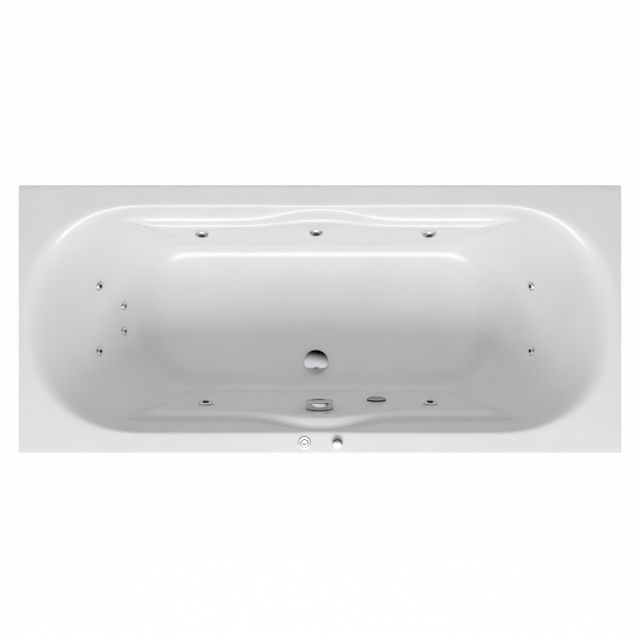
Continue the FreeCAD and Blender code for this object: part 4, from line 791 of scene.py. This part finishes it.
def build_steelwork():
    """Welds, end plugs and fixings of the support frame."""
    half = TUBE / 2
    middle = RAIL_Z + half
    seam = half - WELD_SUNK
    welds, plugs, bolts = Kit(), Kit(), Kit()
    for sx in (-1, 1):
        for sy in (-1, 1):
            welds.add(bead(square_loop((sx * (CROSS_X - half), sy * RAIL_Y, middle), (1, 0, 0), seam)))
            welds.add(bead(square_loop((sx * INNER_CROSS_X, sy * (RAIL_Y - half), middle), (0, 1, 0),
                                       seam)))
            plugs.add(block((sx * CROSS_X, sy * PLUG_Y, middle), (TUBE - 0.6, TUBE - 0.6, 2.4), 0.8,
                            (0, 1, 0)))
            x, y = sx * CROSS_X, sy * POST_Y
            welds.add(bead([(x + a * POST_SEAM, y + b * POST_SEAM, BOARD_Z + 0.8) for a, b in SQUARE],
                           1.6))
            for z in POST_BOLT_Z:
                bolts.add(*hex_head((x - sx * POST_SEAM, y, z), (-sx, 0, 0), 8, 3.6))
    for x in BOARD_BOLT_X:
        for sy in (-1, 1):
            bolts.add(*hex_head((x, sy * RAIL_Y, RAIL_Z), (0, 0, -1), 10, 4.4))
    radius = NUT_FLATS / math.sqrt(3) + 0.2
    for x, y in FOOT_SPOTS:
        welds.add(bead([(x + radius * math.cos(turn), y + radius * math.sin(turn), RAIL_Z - 0.4)
                        for turn in np.radians(range(0, 361, 60))], 1.5))
    welds.build("frame_welds", "tub", ("painted_steel",), crease=60)
    plugs.build("tube_end_plugs", "tub", ("black_plastic",))
    bolts.build("frame_bolts", "tub", ("zinc_steel",))


build_steelwork()


# ---- pipework
WATER_Y, WATER_Z, AIR_ABOVE_WATER = 352, 417, 48
SUCTION_Y, SUCTION_R, PUMP_X, PUMP_Z = -322, 25, 790, 222
TRAP_Z, WASTE_Z, WASTE_R = 40, 75, 16
RISER_X = 800
WATER_BEAD = ((16, 0), (21.2, -0.4), (20.2, 0.9), (17.4, 1.8), (16, 3.4))
AIR_BEAD = ((10, 0), (14.2, -0.3), (13.4, 0.7), (11, 1.4), (10, 2.6))
CLAMPS = (((186, SUCTION_Y, 285), (0, 0, 1), SUCTION_R, (0, -1, 0)),
          ((720, SUCTION_Y, PUMP_Z), (1, 0, 0), SUCTION_R, (0, -1, 0)),
          ((PUMP_X, -240, PUMP_Z), (0, 1, 0), SUCTION_R, (0, 0, 1)),
          ((-5, -318, 380), (0, 0, 1), WASTE_R, (0, -1, 0)),
          ((-5, -215, WASTE_Z), (0, 1, 0), WASTE_R, (1, 0, 0)))


def clamp(at, axis, radius, side):
    """Worm-drive hose clamp: a slotted band, its housing and the screw."""
    axis = unit(axis)
    side = unit(np.asarray(side, float) - axis * (np.asarray(side) @ axis))
    along = np.cross(axis, side)
    band = ((0.1, -4.5), (0.9, -4.5), (1.1, -4), (1.1, 4), (0.9, 4.5), (0.1, 4.5))
    house = np.asarray(at) + side * (radius + 3.6)
    screw = house + side * 1.2
    return (lathe([(radius + r, h) for r, h in band], at, axis, 48,
                  lambda turn, height: 0.25 * (np.sin(turn * 40) > 0) * (np.abs(height) < 4.2)),
            block(house, (15, 9.4, 5.4), 0.8, side, along),
            lathe(((0, -11), (2.4, -11), (2.4, 7), (0, 7)), screw, along, 16),
            hex_head(screw - along * 8, -along, 7, 4.5)[0])


def ribbed_nut(at, axis, radius, height, ribs):
    """Moulded union nut: ribs stand 1.1 mm out where the cosine of ribs turns is over 0.35."""
    top = height - 1.2
    rows = [(radius - 4.5, 0), (radius - 1.6, 0), (radius, 1.2)]
    rows += [(radius, h) for h in np.linspace(1.6, height - 1.6, 3)]
    rows += [(radius, top), (radius - 1.6, height), (radius - 4.5, height)]

    def grip(turn, at_height):
        return 1.1 * (np.cos(turn * ribs) > 0.35) * (at_height > 1) * (at_height < top + 0.1)
    return lathe(rows, at, axis, ribs * 6, grip)


def build_pipework():
    """Nuts, clamps and solvent beads on the pipes."""
    nuts, clamps, beads = Kit(), Kit(), Kit()
    for at, axis in SIDE_JETS:
        nuts.add(ribbed_nut(at - axis * 5.2, -axis, 28.9, 9.6, 16))
        y = math.copysign(WATER_Y, at[1])
        for end in (-1, 1):
            beads.add(lathe(WATER_BEAD, (at[0] + end * 30, y, WATER_Z), (end, 0, 0), 48))
            beads.add(lathe(AIR_BEAD, (at[0] + end * 18, y, WATER_Z + AIR_ABOVE_WATER), (end, 0, 0), 40))
    nuts.build("jet_nut_ribs", "tub", ("white_plastic",), crease=40)
    for place in CLAMPS:
        clamps.add(*clamp(*place))
    clamps.build("hose_clamps", "tub", ("zinc_steel",))
    for x, y, way in ((RISER_X, -129, 1), (RISER_X, -201, -1), (RISER_X, 25, 1), (RISER_X, -25, -1),
                      (-RISER_X, 25, 1), (-RISER_X, -25, -1)):
        beads.add(lathe(WATER_BEAD, (x, y, WATER_Z), (0, way, 0), 48))
    beads.build("solvent_beads", "tub", ("white_pipe",), crease=50)
    trap = Kit().add(ribbed_nut((-5, -148, TRAP_Z + 2), UP, 40.4, 15, 22),
                     ribbed_nut((-5, -192, WASTE_Z), (0, -1, 0), 24.6, 15, 14))
    trap.build("trap_nuts", "tub", ("grey_pipe",), crease=40)


build_pipework()


# ---- pump
LID_BOLT_R, LID_Y = 70.5, -204
CASING_SCREW_R, CASING_Y = 55.5, 150
VOLUTE_RING = ((72, 0), (73.2, 0.4), (73.2, 2.6), (72, 3))


def pump_circle(radius, y, count):
    """Spots evenly round the pump's shaft, the first half a step up from the side."""
    turns = 2 * np.pi * (np.arange(count) + 0.5) / count
    return [(PUMP_X + radius * math.cos(turn), y, PUMP_Z + radius * math.sin(turn)) for turn in turns]


def build_pump_fixings():
    """Bolts and feet of the pump, the terminal box's lid and gland, and the rings of the housing."""
    steel, moulded = Kit(), Kit()
    for at in pump_circle(LID_BOLT_R, LID_Y, 8):
        steel.add(*hex_head(at, (0, -1, 0), 7, 3.4))
    for at in pump_circle(CASING_SCREW_R, CASING_Y, 4):
        steel.add(screw_head(at, (0, 1, 0), 2.6))
    for sx in (-1, 1):
        for y in (-66, 46):
            steel.add(block((PUMP_X + sx * 44, y, 141), (24, 22, 4), 0.8))
            steel.add(*hex_head((PUMP_X + sx * 46, y, 143), UP, 10, 4.6))
    steel.build("pump_bolts", "tub", ("zinc_steel",))
    moulded.add(block((889.4, -52, PUMP_Z + 2), (70, 66, 2.4), 0.9, (1, 0, 0), (0, 1, 0)))
    for y in (-82, -22):
        for z in (-26, 30):
            moulded.add(screw_head((890.6, y, PUMP_Z + z), (1, 0, 0), 2.6), slot=1)
    gland = ((8.2, 5.4), (9.2, 6), (9.2, 14.6), (7.6, 16.2), (4.2, 16.4))
    moulded.add(lathe(gland, (881, -92, 210), (0, -1, 0), 6))
    for k in range(5):
        moulded.add(lathe(VOLUTE_RING, (PUMP_X, -188 + 11 * k, PUMP_Z), (0, 1, 0), 72))
    moulded.build("pump_mouldings", "tub", ("black_plastic", "zinc_steel"))


build_pump_fixings()


# ---- jets
# profiles are (radius, height) in a fitting's own directions, from below
FACE_TILT = math.radians(15)
BALL_CENTRE = -2


def tilted_frame(axis, tilt):
    """The fitting's own directions: across, up the wall and out, the last two turned up by tilt."""
    across = unit(np.cross(UP, axis))
    rise = np.cross(axis, across)
    cos, sin = math.cos(tilt), math.sin(tilt)
    return across, rise * cos - axis * sin, axis * cos + rise * sin


def circles(centre, directions, profile, around=64):
    """Rings of points, one for each (radius, height) of a profile; height runs along the third
    direction."""
    u, v, w = directions
    way = around_way(np.arange(around) * 2 * np.pi / around, u, v)
    return [centre + w * height + radius * way for radius, height in profile]


COLLAR = ((12.9, -14), (15.9, -14), (15.9, 0.1), (20.5, 0.1), (20.8, 0.5), (20.6, 1), (19.4, 1.5))
FLANGE = ((19.4, 8.9), (19.6, 9.3), (19.8, 9.7), (19.6, 10.2))
CROWN, LIP = (18, 12.2), (12.8, 12.6)
MOUTH = ((11.9, 12.8), (11.3, 12.6), (10.95, 12), (10.9, 7), (12.6, 4.5), (12.7, -4))
# black ring just under the face ring's flange edge: painted shadow line between the flange and the wall
FLANGE_SEAL = ((19.3, 8.3), (20.1, 8.3), (20.4, 8.7), (20.1, 9.2), (19.4, 9.3), (19.3, 8.3))
WALL_GASKET = ((16.2, -4.6), (19.2, -4.6), (19.3, -4.2), (19.3, -0.5), (18.9, -0.1), (16.2, -0.1))
BALL_R, BALL_FROM_TO = 12, (-75, 43)
BALL_FACE = ((8.9, 8.9), (8.9, 9.5), (8.6, 10), (8.1, 10.3), (7.4, 10.1), (6.4, 8.6), (5.2, 5),
             (4.6, 0), (4.5, -8), (0, -8.2))


def build_side_jets():
    """Face rings on a collar with a black ring under each flange's edge that paints its shadow line, and
    dark eyeballs with a flared mouth.

    The collar is square to the wall; flange, dome and mouth lean by FACE_TILT. The dome is a
    parabola from the flange's edge by the crown to the lip.
    """
    gaskets = Kit()
    turn = np.radians(np.linspace(*BALL_FROM_TO, 16))
    ball = [(0, -BALL_R)] + [(BALL_R * math.cos(a), BALL_R * math.sin(a)) for a in turn]
    for k, (at, axis) in enumerate(SIDE_JETS, 1):
        slant = tilted_frame(axis, FACE_TILT)
        centre = at + axis * BALL_CENTRE
        gaskets.add(lathe(WALL_GASKET, at, axis, 64))
        rows = circles(at, tilted_frame(axis, 0), COLLAR) + circles(centre, slant, FLANGE)
        edge, crown, lip = rows[-1], *circles(centre, slant, (CROWN, LIP))
        rows += [edge * (1 - s) ** 2 + crown * 2 * s * (1 - s) + lip * s ** 2
                 for s in np.linspace(0, 1, 9)[1:]]
        rows += circles(centre, slant, MOUTH)
        kit = Kit().add(loft(np.stack(rows)))
        # the black ring under the flange's edge is painted shadow
        kit.add(loft(np.stack(circles(centre, slant, FLANGE_SEAL))), slot=1)
        ring, nozzle = "jet_ring_%d" % k, "jet_nozzle_%d" % k
        kit.build("jet_face_%d" % k, ring, ("chrome", "rubber_black"), (ring,))
        piece("jet_eyeball_%d" % k, *lathe(ball + list(BALL_FACE), centre, slant[2], 64), nozzle,
              ("dark_nozzle",), (nozzle,))
    gaskets.build("jet_gaskets", "tub", ("rubber_black",))


def build_back_jets():
    """Small chromed caps with a sharp spray hole, blind and lined in black to paint the shade inside it, on
    a trim ring over a dark seal that is the joint line and also paints a shadow at the trim's foot.
    """
    # dark seal at the trim's foot: the joint line to the wall, and painted shadow along the trim's edge
    seal = ((14.2, -0.3), (14.9, -0.3), (14.9, 0.6), (14.3, 1))
    trim = ((14.3, 0.6), (14.7, 0.9), (14.7, 1.6), (14.2, 2.05), (8.2, 2.1))
    cap = ((0, -13.5), (7.9, -13.5), (7.9, 2.2), (12.1, 2.4), (12.5, 2.8), (12.5, 3.3), (12.1, 3.9),
           (10.9, 4.8), (9.2, 5.5), (7.6, 5.9), (6.6, 5.7), (5.9, 5.2))
    # the spray hole is blind and lined in black: painted shade in place of the dark open bore
    hole = ((5.95, 5.2), (5.7, 4.9), (5.5, 4.4), (5.2, -2), (0, -2.4))
    trims = Kit()
    for k, (at, axis) in enumerate(END_JETS, 1):
        trims.add(lathe(seal, at, axis, 56), slot=1).add(lathe(trim, at, axis, 56))
        kit = Kit().add(lathe(cap, at, axis, 56)).add(lathe(hole, at, axis, 40), slot=1)
        nozzle = "back_nozzle_%d" % k
        kit.build("back_jet_cap_%d" % k, nozzle, ("satin_chrome", "rubber_black"), (nozzle,))
    trims.build("back_jet_trims", "tub", ("chrome", "rubber_black"))


build_side_jets()
build_back_jets()


# ---- waste and overflow
KNOB_R, KNOB_OUT, KNOB_BASE, KNOB_EDGE_R = 42, 29, 2.5, 3.2
COVER_R, COVER_RISE, COVER_EDGE_Z, STEM_DEEP = 41.5, 5, 5.6, 59


def build_waste():
    """Waste cover with its stem, the knob of the overflow, the trim under the cover, and a black ring under
    the knob that paints its shadow line on the wall.
    """
    sphere = (COVER_R ** 2 + COVER_RISE ** 2) / (2 * COVER_RISE)
    dome = [(r, COVER_EDGE_Z + COVER_RISE - (sphere - math.sqrt(sphere ** 2 - r * r)))
            for r in (COVER_R - 0.9) * np.linspace(1, 0, 25)]
    cover = [(0, -STEM_DEEP), (4, -STEM_DEEP), (4, 3.4), (COVER_R - 3.5, 3.4), (COVER_R - 1.2, 3.6),
             (COVER_R - 0.2, 4.2), (COVER_R, 5), (COVER_R - 0.3, 5.5)] + dome
    piece("waste_cover", *lathe(cover, DRAIN_AT, UP, 96), "drain_plug", ("chrome",), ("drain_cover",))
    seal = ((4, -8), (17, -8), (19, -6.3), (19.4, -5.6), (19, -4.9), (17, -3),
            (15, -1), (4, -1))
    piece("waste_seal", *lathe(seal, DRAIN_AT, UP, 64), "drain_plug", ("rubber_black",), ("drain_seal",))

    # knob: cylinder side, small rounded edge, low domed face, and a finger nub at its lower edge
    base, out, inner = KNOB_BASE, KNOB_OUT, KNOB_R - 6
    side = [(0, base + 10), (KNOB_R - 5, base + 10), (KNOB_R - 5, base + 0.5), (KNOB_R - 4.5, base),
            (KNOB_R - 1.4, base), (KNOB_R - 0.3, base + 0.4), (KNOB_R, base + 1.4)]
    edge = [(KNOB_R + KNOB_EDGE_R * (math.cos(a) - 1), out - 6.6 + KNOB_EDGE_R * math.sin(a))
            for a in np.radians(np.linspace(0, 78, 7))]
    face = [(inner * (1 - s), out - 3.1 + 3.1 * (1 - (1 - s) ** 2)) for s in np.linspace(0, 1, 12)]
    across, rise, _ = tilted_frame(KNOB_AXIS, 0)
    nub_at = KNOB_AT + unit(across * 0.28 - rise * 0.96) * (KNOB_R - 4.2)
    nub = ((8.4, base + 3.4), (9, base + 4.2), (9, out - 8.6), (8.6, out - 7.2), (7.4, out - 6.2),
           (4, out - 5.6), (0, out - 5.4))
    stem = ((0, -25.5), (5, -25.5), (5, base + 11))
    kit = Kit().add(lathe(side + edge + face, KNOB_AT, KNOB_AXIS, 128), lathe(nub, nub_at, KNOB_AXIS, 40),
                    lathe(stem, KNOB_AT, KNOB_AXIS, 32))
    kit.build("overflow_handle", "overflow_knob", ("chrome",), ("overflow_knob",), crease=30)

    flange = ((29.2, -0.2), (29.6, 0.3), (29.6, 1), (28.2, 2.2), (27, 2.6), (21.5, 2.6), (20.6, 2.2),
              (20.1, 1.2), (20.1, -10))
    # black ring on the wall under the knob's edge: painted shadow, the dark line where the knob's shadow
    # falls
    shadow_ring = ((36, 0.2), (41.2, 0.2), (41.6, 0.8), (41.6, 1.6), (41, 2), (36, 2.1))
    rims = Kit().add(lathe(flange, DRAIN_AT, UP, 72))
    rims.add(lathe(shadow_ring, KNOB_AT, KNOB_AXIS, 96), slot=1)
    rims.build("waste_flange_trim_and_painted_shadow", "tub", ("chrome", "rubber_black"))


build_waste()


# ---- suction and rim controls
AIR_BASE = 1.9


def build_suction_trim():
    """Black ring behind the strainer, which paints the shade in the gap under its edge, and the screw in
    its middle.
    """
    # black ring in the gap behind the strainer's edge: painted shade
    seal = ((24.6, -0.3), (30.2, -0.3), (30.7, 0.2), (30.7, 1.6), (30.2, 2.1), (25.2, 3.9))
    kit = Kit().add(lathe(seal, SUCTION_AT, SUCTION_AXIS, 72))
    kit.add(screw_head(SUCTION_AT + SUCTION_AXIS * 10.2, SUCTION_AXIS, 3.4), slot=1)
    kit.build("suction_trim", "tub", ("rubber_black", "zinc_steel"))


def build_controls():
    """Start button in its bezel and the air knob, each turned from rounded profiles."""
    bezel = ((14, -17.9), (14, 0), (18.6, 0), (19, 0.3), (19, 1.5), (18.7, 2.3), (18, 3),
             (17.2, 3.35), (16.2, 3.4), (15.2, 3.2), (14.4, 2.5), (13.6, 1.7), (12.6, 1.4), (11.2, 1.4),
             (10.6, 1.9), (10.2, 2.6), (9.85, 2.4), (9.82, -17.9))
    can = ((0, -50), (13.4, -50), (14, -49.4), (14, -18), (11.5, -18), (11.5, -46.9), (0, -47))
    nut = ((14, -15.4), (20.4, -15.4), (21, -14.8), (21, -6.9), (20.4, -6.2), (14, -6.2))
    spout = ((0, -66), (2.6, -66), (3, -65.4), (3, -47), (0, -46.9))
    seal = ((18.8, 0), (19.3, 0), (19.3, 0.5), (18.9, 0.6))
    housing = Kit().add(lathe(bezel, BUTTON_AT, UP, 96))
    housing.add(lathe(can, BUTTON_AT, UP, 48), lathe(nut, BUTTON_AT, UP, 6),
                lathe(spout, (BUTTON_AT[0], AIR_HOSE_Y, HEIGHT), UP, 24), slot=1)
    housing.add(lathe(seal, BUTTON_AT, UP, 72), slot=2)
    housing.build("button_bezel", "tub", ("satin_chrome", "black_plastic", "rubber_black"),
                  ("button_housing",))
    cap = ((0, -27.9), (9.7, -27.9), (9.7, 3.6), (9.4, 4.6), (8.8, 5.3), (7.9, 5.6), (6.8, 5.4), (5.2, 4.9),
           (2.5, 4.7), (0, 4.65))
    piece("button_cap", *lathe(cap, BUTTON_AT, UP, 72), "start_button", ("satin_chrome",),
          ("start_button",))
    shell = ((14.8, 0), (15.7, 0.4), (16, 1.2), (16, 5.6), (15.7, 7.2), (14.9, 8.6), (13.4, 9.8),
             (11.2, 10.9), (8, 11.8), (4, 12.4), (0, 12.6))
    knob = [(0, -44), (5, -44), (5, AIR_BASE + 0.1)] + [(r, AIR_BASE + h) for r, h in shell]
    mark = ((0.1, 0), (1.3, 0.1), (1.5, 0.5), (1.2, 0.9), (0, 1))
    kit = Kit().add(lathe(knob, AIR_AT, UP, 96))
    kit.add(lathe(mark, AIR_AT + (0, 11.2, AIR_BASE + 10.7), (0, 0.35, 0.94), 24))
    kit.build("air_dial", "air_knob", ("satin_chrome",), ("air_knob",))


build_suction_trim()
build_controls()


# ---- carried-over nodes
# nodes that wear another finish than their slot's
NODE_FINISH = {"suction_cover": "strainer_metal"}


def dress_nodes():
    """Gives every CAD node its finish by the slot that the record states."""
    for row in frame["record"]["subparts"]:
        shown = nodes[row["node"]]
        for slot in shown.material_slots:
            slot.material = finishes[NODE_FINISH.get(row["node"], row["material_slot"])].material


dress_nodes()


# ---- camera, lights, stage
CAMERA_UP, SENSOR = 3000.0, 36.0
CAMERA_AT = (-60.0, 25.0, HEIGHT + CAMERA_UP)
VIEW_WIDE = 1911.7
VIEW_CENTRE = (0.0, -2.1)
FLOOR_HALF, FLOOR_WHITE = 14.0, 0.97
EVEN_LIGHT, ROOM_LEVEL = 0.32, 0.9
BRIGHT_WAY, BRIGHT_FROM_TO = (-0.3, -1.9, 1.0), (0.3, 1.3)


def add_camera():
    """Camera straight above, a little off the middle; the shift brings the rim's middle back, and
    VIEW_WIDE is what the picture spans at the rim's height."""
    data = bpy.data.cameras.new("camera")
    data.sensor_width = SENSOR
    data.lens = SENSOR * CAMERA_UP / VIEW_WIDE
    data.shift_x = (VIEW_CENTRE[0] - CAMERA_AT[0]) / VIEW_WIDE
    data.shift_y = (VIEW_CENTRE[1] - CAMERA_AT[1]) / VIEW_WIDE
    camera = bpy.data.objects.new("camera", data)
    camera.location = [v * MM for v in CAMERA_AT]
    bpy.context.scene.collection.objects.link(camera)
    bpy.context.scene.camera = camera


def add_light(name, at, target, size, power):
    """Rectangular soft box in metres that faces its target; power is in watts."""
    data = bpy.data.lights.new(name, "AREA")
    data.shape = "RECTANGLE"
    data.size, data.size_y = size
    data.energy = power
    light = bpy.data.objects.new(name, data)
    light.location = at
    away = np.array(at) - np.array(target)
    light.rotation_mode = "QUATERNION"
    light.rotation_quaternion = Vector(away).to_track_quat("Z", "Y")
    bpy.context.scene.collection.objects.link(light)
    return light


def add_stage():
    """Pale floor that keeps the shadow, white to the camera and in reflections."""
    mesh = bpy.data.meshes.new("studio_floor")
    mesh.from_pydata([(x * FLOOR_HALF, y * FLOOR_HALF, 0) for x, y in SQUARE[:4]], [], [(0, 1, 2, 3)])
    floor = bpy.data.objects.new("studio_floor", mesh)
    bpy.context.scene.collection.objects.link(floor)
    paper = Finish("studio_white", 0.8, 0.9)
    mirrored_rays = paper.ray("Glossy") + paper.ray("Transmission")
    seen = paper.node("ShaderNodeMath", {0: paper.ray("Camera"), 1: mirrored_rays}, operation="ADD",
                      use_clamp=True)
    surface = paper.tree.nodes["Material Output"].inputs["Surface"]
    paper.link(surface, paper.either(seen * FLOOR_WHITE, Value(paper, paper.shader.outputs[0]),
                                     paper.node("ShaderNodeEmission")))
    mesh.materials.append(paper.material)


def add_world():
    """White to the camera, an even light on surfaces, and to reflections a room that is dark at the
    back and bright in front and above, by a smooth step of the direction's share of BRIGHT_WAY."""
    world = bpy.data.worlds.new("studio")
    bpy.context.scene.world = world
    sky = Graph(world)
    direction = sky.node("ShaderNodeTexCoord", out="Generated")
    toward = sky.node("ShaderNodeVectorMath", {0: direction, 1: BRIGHT_WAY}, out="Value",
                      operation="DOT_PRODUCT")
    low, high = BRIGHT_FROM_TO
    shade = sky.node("ShaderNodeMapRange", {0: toward, 1: low, 2: high, 3: 0.0, 4: 1.0},
                     interpolation_type="SMOOTHSTEP")
    base = sky.tree.nodes["Background"]
    sky.link(base.inputs["Color"], 1.0)
    sky.link(base.inputs["Strength"], EVEN_LIGHT)
    room = sky.node("ShaderNodeBackground", {"Color": ROOM_LEVEL, "Strength": shade})
    white = sky.node("ShaderNodeBackground", {"Color": 1.0})
    lit = sky.either(sky.ray("Glossy"), Value(sky, base.outputs[0]), room)
    sky.link(sky.tree.nodes["World Output"].inputs["Surface"], sky.either(sky.ray("Camera"), lit, white))


add_camera()
add_stage()
add_world()
add_light("front_box", (0.0, -3.45, 3.78), (0.0, 0.1, 0.3), (4.6, 1.9), 158.0)
add_light("top_box", (0.0, 0.3, 3.9), (0.0, 0.0, 0.4), (2.4, 1.2), 19.0).visible_glossy = False
bpy.context.scene.view_settings.view_transform = "Standard"
